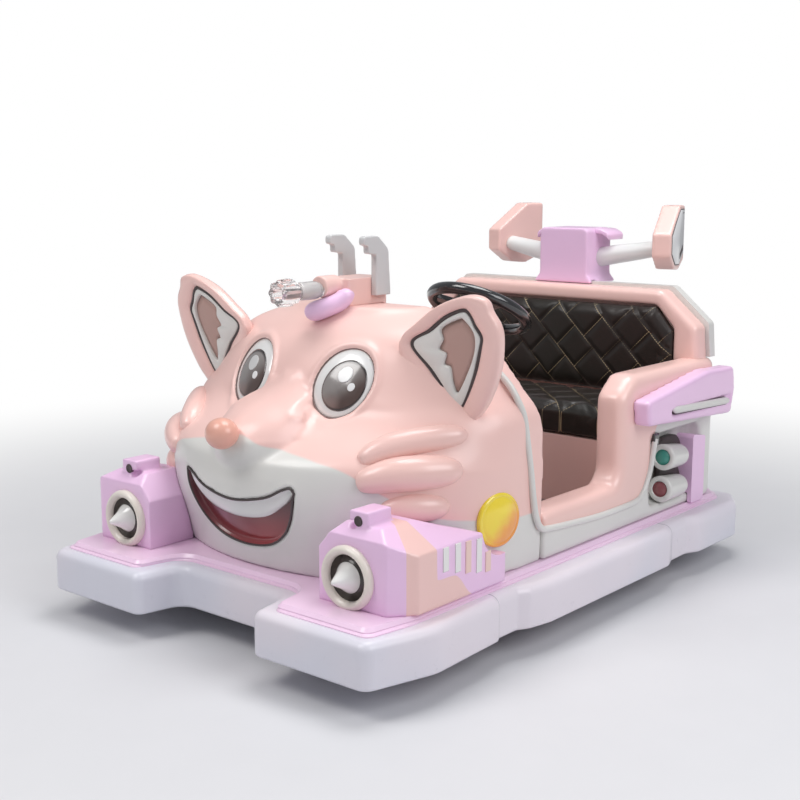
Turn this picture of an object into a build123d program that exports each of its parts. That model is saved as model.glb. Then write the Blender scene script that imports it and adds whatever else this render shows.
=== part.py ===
from build123d import *
import math
import os

# Battery bumper car with an animal-shaped front body, for two riders.
# Millimetres, Z up, +X to the machine's left, front at -Y.
# The origin is on the floor, under the middle of the overall box.
# A place along the car is written as front plus a distance from the bumper's front face.

os.makedirs("parts", exist_ok=True)

# Widths: everything is measured in from the bumper
bumper_width = 1120.0
bumper_half = bumper_width / 2
body_inset = 70.0
body_half = bumper_half - body_inset
deck_ledge = 8.0
deck_half = body_half + deck_ledge
wall = 80.0
cockpit_half = body_half - wall

# Lengths from the bumper's front face, one after the other
door_front = 645.0
door_length = 340.0
knee_room = 100.0
seat_depth = 340.0
rear_wall = 95.0
rear_overhang = 65.0
spoiler_overhang = 103.0
door_rear = door_front + door_length
seat_front = door_rear + knee_room
rear_wall_front = seat_front + seat_depth
body_rear = rear_wall_front + rear_wall
bumper_length = body_rear + rear_overhang
overall_length = bumper_length + spoiler_overhang
front = -overall_length / 2

# Heights above the floor
ground_gap = 65.0
bumper_height = 100.0
bumper_top = ground_gap + bumper_height
deck_thickness = 15.0
deck_top = bumper_top + deck_thickness
sill_top = deck_top + 115.0
seat_base_top = deck_top + 195.0
armrest_top = deck_top + 385.0
backrest_top = deck_top + 565.0
crown_top = deck_top + 575.0

# Wheels
wheel_radius = 100.0
tyre_width = 50.0
drive_tyre_width = 60.0
tyre_chamfer = 8.0
hub_radius = 62.0
axle_radius = 10.0
axle_fit = 0.3
rim_clearance = 15.0
rear_track = cockpit_half - 15.0
rear_wheel_place = seat_front + 185.0
drive_wheel_place = 400.0
well_radius = 125.0
well_top = 2 * wheel_radius + 100.0
pocket_top = 2 * wheel_radius + 20.0
pocket_width = tyre_width + 2 * rim_clearance
pocket_length = 2 * wheel_radius + 2 * rim_clearance


def mirrored(corners):
    """Corners of the left half (x, y, radius), then the same on the right-hand side."""
    right = [(-x, y, radius) for x, y, radius in reversed(corners) if x > 0]
    return corners + right


def rounded(corners):
    """Closed line through the corners (a, b, radius), each rounded by its radius."""
    points = [(a, b) for a, b, radius in corners]
    FilletPolyline(*points, radius=[radius for a, b, radius in corners], close=True)


def along(corners):
    """Corners whose first or second value is a place along the car, moved to the origin."""
    return [(front + y, z, radius) for y, z, radius in corners]


# Bumper ring
bumper_edge = 22.0
bumper_foot_edge = 8.0
bumper_wall = 112.0
recess_half = 165.0
recess_depth = 117.0
front_seam = 404.0
rear_seam = door_rear + 165.0
seam_gap = 0.6

# Bumper outline, left half: x, distance from the front face, corner radius
bumper_corners = [
    (recess_half, recess_depth, 45.0),
    (recess_half + 23, 0.0, 26.0),
    (bumper_half - 54, 0.0, 32.0),
    (bumper_half - 7, 170.0, 120.0),
    (bumper_half - 19, front_seam - 8, 6.0),
    (bumper_half - 29, front_seam + 8, 6.0),
    (bumper_half - 29, front_seam + 76, 12.0),
    (bumper_half - 13, front_seam + 104, 20.0),
    (bumper_half, front_seam + 171, 60.0),
    (bumper_half, rear_seam - 30, 22.0),
    (bumper_half - 17, rear_seam + 15, 20.0),
    (bumper_half - 19, rear_seam + 95, 20.0),
    (bumper_half, rear_seam + 142, 22.0),
    (bumper_half, bumper_length - 85, 34.0),
    (bumper_half - 48, bumper_length, 34.0),
]
hole_front = 245.0
hole_rear = bumper_length - bumper_wall

with BuildPart() as bumper_ring:
    with BuildSketch(Plane.XY.offset(ground_gap)):
        with BuildLine():
            rounded([(x, front + y, radius) for x, y, radius in mirrored(bumper_corners)])
        make_face()
    extrude(amount=bumper_height)
    fillet(bumper_ring.faces().sort_by(Axis.Z)[-1].edges(), bumper_edge)
    fillet(bumper_ring.faces().sort_by(Axis.Z)[0].edges(), bumper_foot_edge)
    with BuildSketch(Plane.XY.offset(ground_gap)):
        with Locations((0, front + (hole_front + hole_rear) / 2)):
            RectangleRounded(2 * (bumper_half - bumper_wall), hole_rear - hole_front, 40)
    extrude(amount=bumper_height, mode=Mode.SUBTRACT)

# Bumper sections: name, which side, from, to
bumper_sections = [
    ("bumper_front", 0, -10.0, front_seam),
    ("bumper_side_left", 1, front_seam, rear_seam),
    ("bumper_side_right", -1, front_seam, rear_seam),
    ("bumper_rear", 0, rear_seam, bumper_length + 10.0),
]
for name, side, start, end in bumper_sections:
    with BuildPart() as bumper:
        add(bumper_ring.part)
        middle = (side * bumper_width / 2, front + (start + end) / 2, ground_gap + bumper_height / 2)
        with Locations(middle):
            Box(bumper_width, end - start - seam_gap, 2 * bumper_height, mode=Mode.INTERSECT)
    bumper.part.label = name
    export_step(bumper.part, f"parts/{name}.step")

# Deck plate with its raised inner platform, left half: x, place, corner radius
deck_margin = 36.0
deck_corners = [
    (recess_half + 36, recess_depth + deck_margin, 60.0),
    (recess_half + 59, deck_margin, 22.0),
    (deck_half - 18, deck_margin, 22.0),
    (deck_half, deck_margin + 114, 80.0),
    (deck_half, bumper_length - 95, 45.0),
    (deck_half - 48, bumper_length - 35, 45.0),
]
wheel_spots = [(-rear_track, front + rear_wheel_place), (rear_track, front + rear_wheel_place)]

with BuildPart() as deck:
    with BuildSketch(Plane.XY.offset(bumper_top)):
        with BuildLine():
            rounded([(x, front + y, radius) for x, y, radius in mirrored(deck_corners)])
        make_face()
    extrude(amount=deck_thickness)
    chamfer(deck.faces().sort_by(Axis.Z)[-1].edges(), deck_thickness / 2)
    with BuildSketch(Plane.XY.offset(bumper_top)):
        with Locations((0, front + drive_wheel_place)):
            Circle(well_radius)
        with Locations(*wheel_spots):
            Rectangle(pocket_width, pocket_length)
    extrude(amount=deck_thickness, mode=Mode.SUBTRACT)
deck.part.label = "deck"
export_step(deck.part, "parts/deck.step")

# Head body: height over the deck, front, inset from the body side, shoulder before the door,
# side arc as a share of the depth
head_sections = [
    (0.0, 190.0, 10.0, 100.0, 0.87),
    (85.0, 155.0, 6.0, 100.0, 0.82),
    (185.0, 122.0, 4.0, 105.0, 0.79),
    (245.0, 130.0, 4.0, 107.0, 0.79),
    (285.0, 165.0, 5.0, 83.0, 0.76),
    (335.0, 258.0, 6.0, 71.0, 0.73),
    (380.0, 294.0, 24.0, 41.0, 0.73),
    (425.0, 317.0, 55.0, 40.0, 0.73),
    (470.0, 342.0, 86.0, 45.0, 0.72),
    (525.0, 392.0, 160.0, 55.0, 0.71),
    (575.0, 450.0, 300.0, 60.0, 0.67),
]
# The jaw, the step back to the face and the brow are lofted one on the other
head_bands = [(0, 4), (3, 7), (6, 11)]
# Snout ridge: height over the deck, front, half width, shoulder
snout_sections = [
    (200.0, 150.0, 40.0, 220.0),
    (245.0, 124.0, 85.0, 240.0),
    (285.0, 114.0, 110.0, 250.0),
    (325.0, 130.0, 108.0, 270.0),
    (380.0, 222.0, 70.0, 330.0),
    (432.0, 312.0, 36.0, 380.0),
]
snout_rear = 420.0


def arch(front_place, half, shoulder, share, rear_place):
    """Outline of one level section: front arc, two side arcs, two sides and the rear line."""
    depth = shoulder - front_place
    corner = share * min(depth, half)
    radius = ((half - corner) ** 2 + depth ** 2 - corner ** 2) / (2 * (depth - corner))
    corner_x = half - corner
    centre_y = front_place + radius
    reach = math.hypot(corner_x, centre_y - shoulder)
    join_x = corner_x * radius / reach
    join_y = centre_y - (centre_y - shoulder) * radius / reach
    angle = (math.pi / 2 + math.atan2(corner_x, centre_y - shoulder)) / 2
    mid_x = corner_x + corner * math.sin(angle)
    mid_y = shoulder - corner * math.cos(angle)
    points = [
        (-half, rear_place),
        (-half, shoulder),
        (-mid_x, mid_y),
        (-join_x, join_y),
        (0, front_place),
        (join_x, join_y),
        (mid_x, mid_y),
        (half, shoulder),
        (half, rear_place),
    ]
    p = [(x, front + y) for x, y in points]
    Line(p[0], p[1])
    ThreePointArc(p[1], p[2], p[3])
    ThreePointArc(p[3], p[4], p[5])
    ThreePointArc(p[5], p[6], p[7])
    Line(p[7], p[8])
    Line(p[8], p[0])


# Cowl behind the head: it rolls down to the dash in front of the riders
footwell_front = door_front - 100.0
footwell_top = deck_top + 250.0
cowl_corners = [
    (door_front + 5, armrest_top - 95, 0.0),
    (door_front - 47, armrest_top + 75, 60.0),
    (door_front - 47, crown_top + 145, 0.0),
    (door_front + 255, crown_top + 145, 0.0),
    (door_front + 255, armrest_top - 95, 0.0),
]
with BuildPart() as head:
    for first, last in head_bands:
        for height, start, inset, before, share in head_sections[first:last]:
            with BuildSketch(Plane.XY.offset(deck_top + height)):
                with BuildLine():
                    arch(start, body_half - inset, door_front - before, share, door_front)
                make_face()
        loft()
    with BuildSketch(Plane.YZ.offset(-bumper_half)):
        with BuildLine():
            rounded(along(cowl_corners))
        make_face()
    extrude(amount=bumper_width, mode=Mode.SUBTRACT)
    with BuildSketch(Plane.XY.offset(deck_top)):
        with Locations((0, front + drive_wheel_place)):
            Circle(well_radius)
    extrude(amount=well_top - deck_top, mode=Mode.SUBTRACT)
    with BuildSketch(Plane.XY.offset(deck_top)):
        with Locations((0, front + footwell_front + (door_front - footwell_front) / 2 + 5)):
            Rectangle(2 * cockpit_half, door_front - footwell_front + 10)
    extrude(amount=footwell_top - deck_top, mode=Mode.SUBTRACT)

with BuildPart() as snout:
    for height, start, half, shoulder in snout_sections:
        with BuildSketch(Plane.XY.offset(deck_top + height)):
            with BuildLine():
                arch(start, half, shoulder, 0.72, snout_rear)
            make_face()
    loft()

with BuildPart() as face:
    add(head.part)
    add(snout.part)
face.part.label = "head"
export_step(face.part, "parts/head.step")

# Rear body: side profile as place, height, corner radius
side_corners = [
    (door_front + 0.6, deck_top, 0.0),
    (door_front + 0.6, sill_top, 0.0),
    (door_rear - 20, sill_top, 30.0),
    (door_rear, sill_top + 40, 20.0),
    (door_rear, armrest_top - 50, 30.0),
    (door_rear + 60, armrest_top, 40.0),
    (body_rear, armrest_top, 0.0),
    (body_rear, deck_top, 0.0),
]
tail_radius = 75.0
roll_radius = 26.0
recess_in = 38.0
recess_start = door_rear + 155.0
recess_end = body_rear - 120.0
recess_foot = deck_top + 28.0
recess_top = deck_top + 215.0
with BuildPart() as body:
    with BuildSketch(Plane.YZ.offset(-body_half)):
        with BuildLine():
            rounded(along(side_corners))
        make_face()
    extrude(amount=2 * body_half)
    fillet(body.edges().filter_by(Axis.Z).group_by(Axis.Y)[-1], tail_radius)
    rolled = body.faces().sort_by(Axis.X)[0].edges() + body.faces().sort_by(Axis.X)[-1].edges()
    low = front + door_front + 1
    high = front + body_rear - tail_radius - 5
    chosen = [e for e in rolled if e.center().Z > sill_top - 5 and low < e.center().Y < high]
    fillet(chosen, roll_radius)
    with BuildSketch(Plane.XY.offset(deck_top)):
        with Locations((0, front + (door_front + rear_wall_front) / 2)):
            Rectangle(2 * cockpit_half, rear_wall_front - door_front)
    extrude(amount=armrest_top, mode=Mode.SUBTRACT)
    with BuildSketch(Plane.XY.offset(deck_top)):
        with Locations(*wheel_spots):
            Rectangle(pocket_width, pocket_length)
    extrude(amount=pocket_top - deck_top, mode=Mode.SUBTRACT)
    for side in (1, -1):
        recess_middle = (
            side * (body_half - recess_in / 2),
            front + (recess_start + recess_end) / 2,
            (recess_foot + recess_top) / 2)
        with Locations(recess_middle):
            Box(recess_in, recess_end - recess_start, recess_top - recess_foot, mode=Mode.SUBTRACT)
body.part.label = "body"
export_step(body.part, "parts/body.step")

# Floor mat, seat base and the battery under the seat
mat_thickness = 12.0
panel = 12.0
seat_middle = front + (seat_front + rear_wall_front) / 2
with BuildPart() as floor_mat:
    with BuildSketch(Plane.XY.offset(deck_top)):
        with Locations((0, front + (footwell_front + seat_front) / 2)):
            Rectangle(2 * cockpit_half - 2, seat_front - footwell_front - 2)
    extrude(amount=mat_thickness)
floor_mat.part.label = "floor_mat"
export_step(floor_mat.part, "parts/floor_mat.step")

with BuildPart() as seat_base:
    with BuildSketch(Plane.XY.offset(deck_top)):
        with Locations((0, seat_middle)):
            Rectangle(2 * cockpit_half - 1, seat_depth - 1)
    extrude(amount=seat_base_top - deck_top)
    with BuildSketch(Plane.XY.offset(deck_top)):
        with Locations((0, seat_middle)):
            Rectangle(2 * (cockpit_half - panel), seat_depth - 2 * panel)
    extrude(amount=seat_base_top - panel - deck_top, mode=Mode.SUBTRACT)
    with BuildSketch(Plane.XY.offset(deck_top)):
        with Locations(*wheel_spots):
            Rectangle(pocket_width, pocket_length)
    extrude(amount=pocket_top - deck_top, mode=Mode.SUBTRACT)
seat_base.part.label = "seat_base"
export_step(seat_base.part, "parts/seat_base.step")

battery_width = 350.0
battery_depth = 200.0
battery_height = 170.0
with BuildPart() as battery_box:
    with BuildSketch(Plane.XY.offset(deck_top)):
        with Locations((0, seat_middle)):
            RectangleRounded(battery_width, battery_depth, 8)
    extrude(amount=battery_height)
battery_box.part.label = "battery_box"
export_step(battery_box.part, "parts/battery_box.step")

# Seat cushion and backrest pad
cushion_thickness = 80.0
cushion_top = seat_base_top + cushion_thickness
cushion_edge = 22.0
cushion_lip = 15.0
pad_thickness = 36.0
pad_edge = 12.0
seat_gap = 2.0
resting_gap = 0.3
cushion_front = seat_front - cushion_lip
cushion_rear = rear_wall_front - pad_thickness - 2 * seat_gap
with BuildPart() as seat_cushion:
    with BuildSketch(Plane.XY.offset(seat_base_top + resting_gap)):
        with Locations((0, front + (cushion_front + cushion_rear) / 2)):
            RectangleRounded(2 * cockpit_half - 8, cushion_rear - cushion_front, 30)
    extrude(amount=cushion_thickness)
    fillet(seat_cushion.faces().sort_by(Axis.Z)[-1].edges(), cushion_edge)
seat_cushion.part.label = "seat_cushion"
export_step(seat_cushion.part, "parts/seat_cushion.step")

# Backrest frame, half outlines: x, height, corner radius
frame_depth = 40.0
frame_lip = 20.0
rim = 8.0
rim_depth = 30.0
frame_corners = [
    (body_half - 20, armrest_top, 0.0),
    (body_half - 27, armrest_top + 85, 18.0),
    (body_half - 138, backrest_top, 18.0),
]
pad_corners = [
    (cockpit_half - 14, cushion_top - 5, 0.0),
    (cockpit_half - 14, armrest_top + 77, 10.0),
    (cockpit_half - 70, backrest_top - 40, 10.0),
]
rear_face = front + rear_wall_front + frame_depth
with BuildPart() as backrest_frame:
    with BuildSketch(Plane.XZ.offset(-rear_face)):
        with BuildLine():
            rounded(mirrored(frame_corners))
        make_face()
    extrude(amount=frame_depth + frame_lip)
    chamfer(backrest_frame.faces().sort_by(Axis.Y)[0].edges(), frame_lip / 2)
    with BuildSketch(Plane.XZ.offset(-front - rear_wall_front)):
        with BuildLine():
            rounded(mirrored(pad_corners))
        make_face()
    extrude(amount=frame_lip, mode=Mode.SUBTRACT)
    with Locations((0, front + rear_wall_front - frame_lip / 2, armrest_top)):
        Box(2 * cockpit_half - 30, frame_lip, 4, mode=Mode.SUBTRACT)
backrest_frame.part.label = "backrest_frame"
export_step(backrest_frame.part, "parts/backrest_frame.step")

pad_line = [
    (cockpit_half - 16, cushion_top + 3, 20.0),
    (cockpit_half - 16, armrest_top + 75, 20.0),
    (cockpit_half - 72, backrest_top - 42, 20.0),
]
with BuildPart() as backrest_pad:
    with BuildSketch(Plane.XZ.offset(-front - rear_wall_front + resting_gap)):
        with BuildLine():
            rounded(mirrored(pad_line))
        make_face()
    extrude(amount=pad_thickness)
    chamfer(backrest_pad.faces().sort_by(Axis.Y)[0].edges(), pad_edge)
backrest_pad.part.label = "backrest_pad"
export_step(backrest_pad.part, "parts/backrest_pad.step")

with BuildPart() as back_panel:
    with BuildSketch(Plane.XZ.offset(-rear_face)):
        with BuildLine():
            rim_corners = [(x + rim, z + rim if z > armrest_top else z, r) for x, z, r in frame_corners]
            rounded(mirrored(rim_corners))
        make_face()
    extrude(amount=-rim_depth)
back_panel.part.label = "back_panel"
export_step(back_panel.part, "parts/back_panel.step")

# Steering wheel and column, on a plane square to the column
steering_x = 150.0
steering_place = door_front + 196.0
steering_height = deck_top + 545.0
steering_tilt = 30.0
steering_radius = 136.0
rim_radius = 13.0
boss_radius = 36.0
boss_height = 34.0
spoke_width = 30.0
spoke_height = 12.0
tilt = math.radians(steering_tilt)
wheel_plane = Plane(
    origin=(steering_x, front + steering_place, steering_height),
    x_dir=(1, 0, 0),
    z_dir=(0, math.sin(tilt), math.cos(tilt)))
boss_foot = wheel_plane.offset(-boss_height / 2 - 10)
with BuildPart() as steering_wheel:
    with BuildSketch(Plane(wheel_plane.origin, x_dir=(1, 0, 0), z_dir=wheel_plane.y_dir)):
        with Locations((steering_radius - rim_radius, 0)):
            RegularPolygon(rim_radius, 8)
    revolve(axis=Axis(wheel_plane.origin, wheel_plane.z_dir))
    with BuildSketch(boss_foot):
        Circle(boss_radius)
    extrude(amount=boss_height)
    with BuildSketch(wheel_plane.offset(-spoke_height / 2)):
        with PolarLocations(0, 3, start_angle=90):
            with Locations((steering_radius / 2 - 8, 0)):
                Rectangle(steering_radius - 24, spoke_width)
    extrude(amount=spoke_height)
steering_wheel.part.label = "steering_wheel"
export_step(steering_wheel.part, "parts/steering_wheel.step")

column_radius = 22.0
column_length = 190.0
binnacle_half = 62.0
binnacle_corners = [
    (door_front + 0.3, armrest_top + 35, 0.0),
    (door_front + 45, armrest_top + 35, 8.0),
    (door_front + 123, armrest_top - 25, 8.0),
    (door_front + 105, armrest_top - 85, 8.0),
    (door_front + 0.3, armrest_top - 125, 0.0),
]
with BuildPart() as steering_binnacle:
    with BuildSketch(Plane.YZ.offset(steering_x - binnacle_half)):
        with BuildLine():
            rounded(along(binnacle_corners))
        make_face()
    extrude(amount=2 * binnacle_half)
steering_binnacle.part.label = "steering_binnacle"
export_step(steering_binnacle.part, "parts/steering_binnacle.step")

with BuildPart() as steering_column:
    with BuildSketch(boss_foot.offset(-resting_gap)):
        Circle(column_radius)
    extrude(amount=-column_length)
    add(steering_binnacle.part, mode=Mode.SUBTRACT)
steering_column.part.label = "steering_column"
export_step(steering_column.part, "parts/steering_column.step")

# Chassis: two side rails and cross members under the deck
rail_x = rear_track - 95.0
rail_width = 40.0
rail_height = 60.0
rail_foot = bumper_top - rail_height
rail_front = 250.0
rail_rear = hole_rear - 3.0
tow_place = rear_wall_front + 15.0
tow_spacing = 100.0
tow_hole_radius = 6.5
members = [268.0, footwell_front + 15, door_rear - 25, tow_place]
with BuildPart() as chassis_frame:
    with BuildSketch(Plane.XY.offset(rail_foot)):
        with Locations(*[(side * rail_x, front + (rail_front + rail_rear) / 2) for side in (-1, 1)]):
            Rectangle(rail_width, rail_rear - rail_front)
        with Locations(*[(0, front + y) for y in members]):
            Rectangle(2 * rail_x, rail_width)
    extrude(amount=rail_height)
    with BuildSketch(Plane.XY.offset(rail_foot)):
        with Locations((-tow_spacing / 2, front + tow_place), (tow_spacing / 2, front + tow_place)):
            Circle(tow_hole_radius)
    extrude(amount=rail_height, mode=Mode.SUBTRACT)
chassis_frame.part.label = "chassis_frame"
export_step(chassis_frame.part, "parts/chassis_frame.step")

# Wheels: name, x, place, width
wheels = [
    ("rear_left", rear_track, rear_wheel_place, tyre_width),
    ("rear_right", -rear_track, rear_wheel_place, tyre_width),
    ("drive", 0.0, drive_wheel_place, drive_tyre_width),
]
for name, x, place, width in wheels:
    wheel_face = Plane(origin=(x, front + place, wheel_radius), x_dir=(0, 1, 0), z_dir=(1, 0, 0))
    tyre_name = "drive_tyre" if name == "drive" else "tyre_" + name
    hub_name = "drive_hub" if name == "drive" else "hub_" + name
    with BuildPart() as tyre:
        with BuildSketch(wheel_face.offset(-width / 2)):
            Circle(wheel_radius)
        extrude(amount=width)
        chamfer(tyre.edges(), tyre_chamfer)
        with BuildSketch(wheel_face.offset(-width / 2)):
            Circle(hub_radius)
        extrude(amount=width, mode=Mode.SUBTRACT)
    tyre.part.label = tyre_name
    export_step(tyre.part, f"parts/{tyre_name}.step")
    with BuildPart() as hub:
        with BuildSketch(wheel_face.offset(-width / 2)):
            Circle(hub_radius)
            Circle(axle_radius + axle_fit, mode=Mode.SUBTRACT)
        extrude(amount=width)
    hub.part.label = hub_name
    export_step(hub.part, f"parts/{hub_name}.step")

# Stub axles on brackets outside the side rails
axle_inner = rail_x + rail_width / 2
bracket_thickness = 8.0
bracket_length = 90.0
bracket_foot = wheel_radius - 24.0
with BuildPart() as rear_axles:
    for side in (1, -1):
        bracket_middle = (
            side * (axle_inner + bracket_thickness / 2),
            front + rear_wheel_place,
            (bracket_foot + bumper_top) / 2)
        with Locations(bracket_middle):
            Box(bracket_thickness, bracket_length, bumper_top - bracket_foot)
        with BuildSketch(Plane.YZ.offset(side * axle_inner)):
            with Locations((front + rear_wheel_place, wheel_radius)):
                Circle(axle_radius)
        extrude(amount=side * (rear_track + tyre_width / 2 - axle_inner))
rear_axles.part.label = "rear_axles"
export_step(rear_axles.part, "parts/rear_axles.step")

# Drive wheel's swivelling fork and its bearing under the head
fork_arm = 10.0
fork_inner = drive_tyre_width / 2 + 6
arm_half = 30.0
crown_foot = 2 * wheel_radius + 15
crown_height = 20.0
crown_radius = 70.0
spindle_radius = 20.0
bearing_radius = 60.0
bearing_height = 35.0
bearing_fit = 0.5
with BuildPart() as drive_fork:
    with BuildSketch(Plane.XY.offset(crown_foot)):
        with Locations((0, front + drive_wheel_place)):
            Circle(crown_radius)
    extrude(amount=crown_height)
    for side in (1, -1):
        arm_middle = (
            side * (fork_inner + fork_arm / 2),
            front + drive_wheel_place,
            (wheel_radius - arm_half + crown_foot) / 2)
        with Locations(arm_middle):
            Box(fork_arm, 2 * arm_half, crown_foot - wheel_radius + arm_half)
    with BuildSketch(Plane.YZ.offset(-fork_inner)):
        with Locations((front + drive_wheel_place, wheel_radius)):
            Circle(axle_radius)
    extrude(amount=2 * fork_inner)
    with BuildSketch(Plane.XY.offset(crown_foot + crown_height)):
        with Locations((0, front + drive_wheel_place)):
            Circle(spindle_radius)
    extrude(amount=well_top - crown_foot - crown_height - 5)
drive_fork.part.label = "drive_fork"
export_step(drive_fork.part, "parts/drive_fork.step")

with BuildPart() as steering_bearing:
    with BuildSketch(Plane.XY.offset(well_top - bearing_height)):
        with Locations((0, front + drive_wheel_place)):
            Circle(bearing_radius)
            Circle(spindle_radius + bearing_fit, mode=Mode.SUBTRACT)
    extrude(amount=bearing_height)
steering_bearing.part.label = "steering_bearing"
export_step(steering_bearing.part, "parts/steering_bearing.step")

# Headlight pods: plan, then the outlines that trim them seen from the front and the side
pod_outer = body_half + 15.0
pod_inner = body_half - 214.0
pod_front = 115.0
pod_rear = 470.0
pod_shoulder = deck_top + 125.0
pod_top = deck_top + 172.0
lamp_x = body_half - 136.0
ring_radius = 64.0
ring_bore = 47.0
ring_depth = 16.0
lamp_height = deck_top + ring_radius + 1
bowl_radius = 54.0
bowl_depth = 42.0
block_half = 26.0
block_front = 135.0
block_length = 76.0
block_top = pod_top + 30.0
pod_plan = [
    (pod_inner, pod_front),
    (pod_outer - 43, pod_front),
    (pod_outer, pod_front + 52),
    (pod_outer, pod_rear),
    (pod_inner, pod_rear),
]
pod_face = [
    (pod_inner - 5, deck_top),
    (pod_outer + 5, deck_top),
    (pod_outer, pod_shoulder),
    (pod_outer - 80, pod_top),
    (pod_inner + 48, pod_top),
    (pod_inner, pod_shoulder - 8),
]
pod_side = [
    (pod_front - 5, deck_top),
    (pod_front - 5, pod_top - 24),
    (pod_front + 30, pod_top),
    (pod_rear + 5, pod_top),
    (pod_rear + 5, deck_top),
]
with BuildPart() as headlight_housings:
    with BuildSketch(Plane.XY.offset(deck_top)):
        with BuildLine():
            Polyline(*[(x, front + y) for x, y in pod_plan], close=True)
        make_face()
    extrude(amount=pod_top - deck_top)
    with BuildSketch(Plane.XZ.offset(-front - pod_front + 5)):
        with BuildLine():
            Polyline(*pod_face, close=True)
        make_face()
    extrude(amount=-(pod_rear - pod_front + 10), mode=Mode.INTERSECT)
    with BuildSketch(Plane.YZ.offset(pod_inner - 5)):
        with BuildLine():
            Polyline(*[(front + y, z) for y, z in pod_side], close=True)
        make_face()
    extrude(amount=pod_outer - pod_inner + 10, mode=Mode.INTERSECT)
    with Locations((lamp_x + 17, front + block_front + block_length / 2, block_top - 30)):
        Box(2 * block_half, block_length, 60)
    with BuildSketch(Plane.XZ.offset(-front - block_front)):
        with Locations((lamp_x, block_top - 33)):
            Circle(11)
    extrude(amount=-20, mode=Mode.SUBTRACT)
    with BuildSketch(Plane.XZ.offset(-front - pod_front)):
        with Locations((lamp_x, lamp_height)):
            Circle(bowl_radius)
    extrude(amount=-bowl_depth, mode=Mode.SUBTRACT)
    add(face.part, mode=Mode.SUBTRACT)
    mirror(about=Plane.YZ)
headlight_housings.part.label = "headlight_housings"
export_step(headlight_housings.part, "parts/headlight_housings.step")

with BuildPart() as headlight_rings:
    with BuildSketch(Plane.XZ.offset(-front - pod_front)):
        with Locations((lamp_x, lamp_height)):
            Circle(ring_radius)
    extrude(amount=ring_depth)
    chamfer(headlight_rings.faces().sort_by(Axis.Y)[0].edges(), ring_depth / 2)
    with BuildSketch(Plane.XZ.offset(-front - pod_front)):
        with Locations((lamp_x, lamp_height)):
            Circle(ring_bore)
    extrude(amount=ring_depth, mode=Mode.SUBTRACT)
    mirror(about=Plane.YZ)
headlight_rings.part.label = "headlight_rings"
export_step(headlight_rings.part, "parts/headlight_rings.step")

# Lamp cone turned about its own axis: radius, distance forward of the bowl floor
cone_profile = [(0, 0), (38, 0), (38, 24), (28, 40), (4, 92), (0, 93)]
bowl_floor = front + pod_front + bowl_depth
with BuildPart() as headlight_cones:
    with BuildSketch(Plane(origin=(lamp_x, bowl_floor, lamp_height), x_dir=(1, 0, 0), z_dir=(0, 0, 1))):
        with BuildLine():
            Polyline(*[(radius, -ahead) for radius, ahead in cone_profile], close=True)
        make_face()
    revolve(axis=Axis((lamp_x, bowl_floor, lamp_height), (0, 1, 0)))
    mirror(about=Plane.YZ)
headlight_cones.part.label = "headlight_cones"
export_step(headlight_cones.part, "parts/headlight_cones.step")

# Air vents on the pods' outer sides: slanted strips
vent_places = [240.0, 277.0, 314.0, 351.0, 388.0]
vent_width = 16.0
vent_proud = 2.0
with BuildPart() as pod_vents:
    for place in vent_places:
        vent_top = pod_shoulder - 6.0
        vent_foot = pod_shoulder - 52.0 - 0.15 * (place - vent_places[0])
        with Locations((pod_outer + vent_proud / 2, front + place, (vent_top + vent_foot) / 2)):
            Box(vent_proud, vent_width, vent_top - vent_foot)
    mirror(about=Plane.YZ)
pod_vents.part.label = "pod_vents"
export_step(pod_vents.part, "parts/pod_vents.step")

# Nose ball
nose_radius = 38.0
nose_place = front + 100
nose_height = deck_top + 322
with BuildPart() as nose:
    with BuildSketch(Plane.YZ):
        with BuildLine():
            Polyline([(nose_place + nose_radius * math.cos(math.radians(step)),
                       nose_height + nose_radius * math.sin(math.radians(step)))
                      for step in range(0, 181, 20)], close=True)
        make_face()
    revolve(axis=Axis((0, nose_place, nose_height), (0, 1, 0)))
    add(face.part, mode=Mode.SUBTRACT)
nose.part.label = "nose"
export_step(nose.part, "parts/nose.step")

# Mouth: outline across the car as x, height over the deck and corner radius
mouth_proud = 2.5
mouth_corners = [
    (0.0, 170.0, 200.0),
    (140.0, 206.0, 24.0),
    (168.0, 216.0, 8.0),
    (150.0, 130.0, 30.0),
    (80.0, 62.0, 40.0),
]
teeth_corners = [
    (0.0, 170.0, 200.0),
    (140.0, 206.0, 24.0),
    (168.0, 216.0, 6.0),
    (150.0, 190.0, 20.0),
    (80.0, 128.0, 60.0),
]
with BuildPart() as mouth_skin:
    with BuildSketch(Plane.XZ.offset(-front - 60)):
        with BuildLine():
            rounded([(x, deck_top + z, radius) for x, z, radius in mirrored(mouth_corners)])
        make_face()
    extrude(amount=-160)
    add(face.part.moved(Location((0, -mouth_proud, 0))), mode=Mode.INTERSECT)
    add(face.part, mode=Mode.SUBTRACT)
with BuildPart() as teeth_block:
    with BuildSketch(Plane.XZ.offset(-front - 60)):
        with BuildLine():
            rounded([(x, deck_top + z, radius) for x, z, radius in mirrored(teeth_corners)])
        make_face()
    extrude(amount=-160)
with BuildPart() as teeth:
    add(mouth_skin.part)
    add(teeth_block.part, mode=Mode.INTERSECT)
teeth.part.label = "teeth"
export_step(teeth.part, "parts/teeth.step")
with BuildPart() as mouth:
    add(mouth_skin.part)
    add(teeth_block.part, mode=Mode.SUBTRACT)
mouth.part.label = "mouth"
export_step(mouth.part, "parts/mouth.step")

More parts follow.
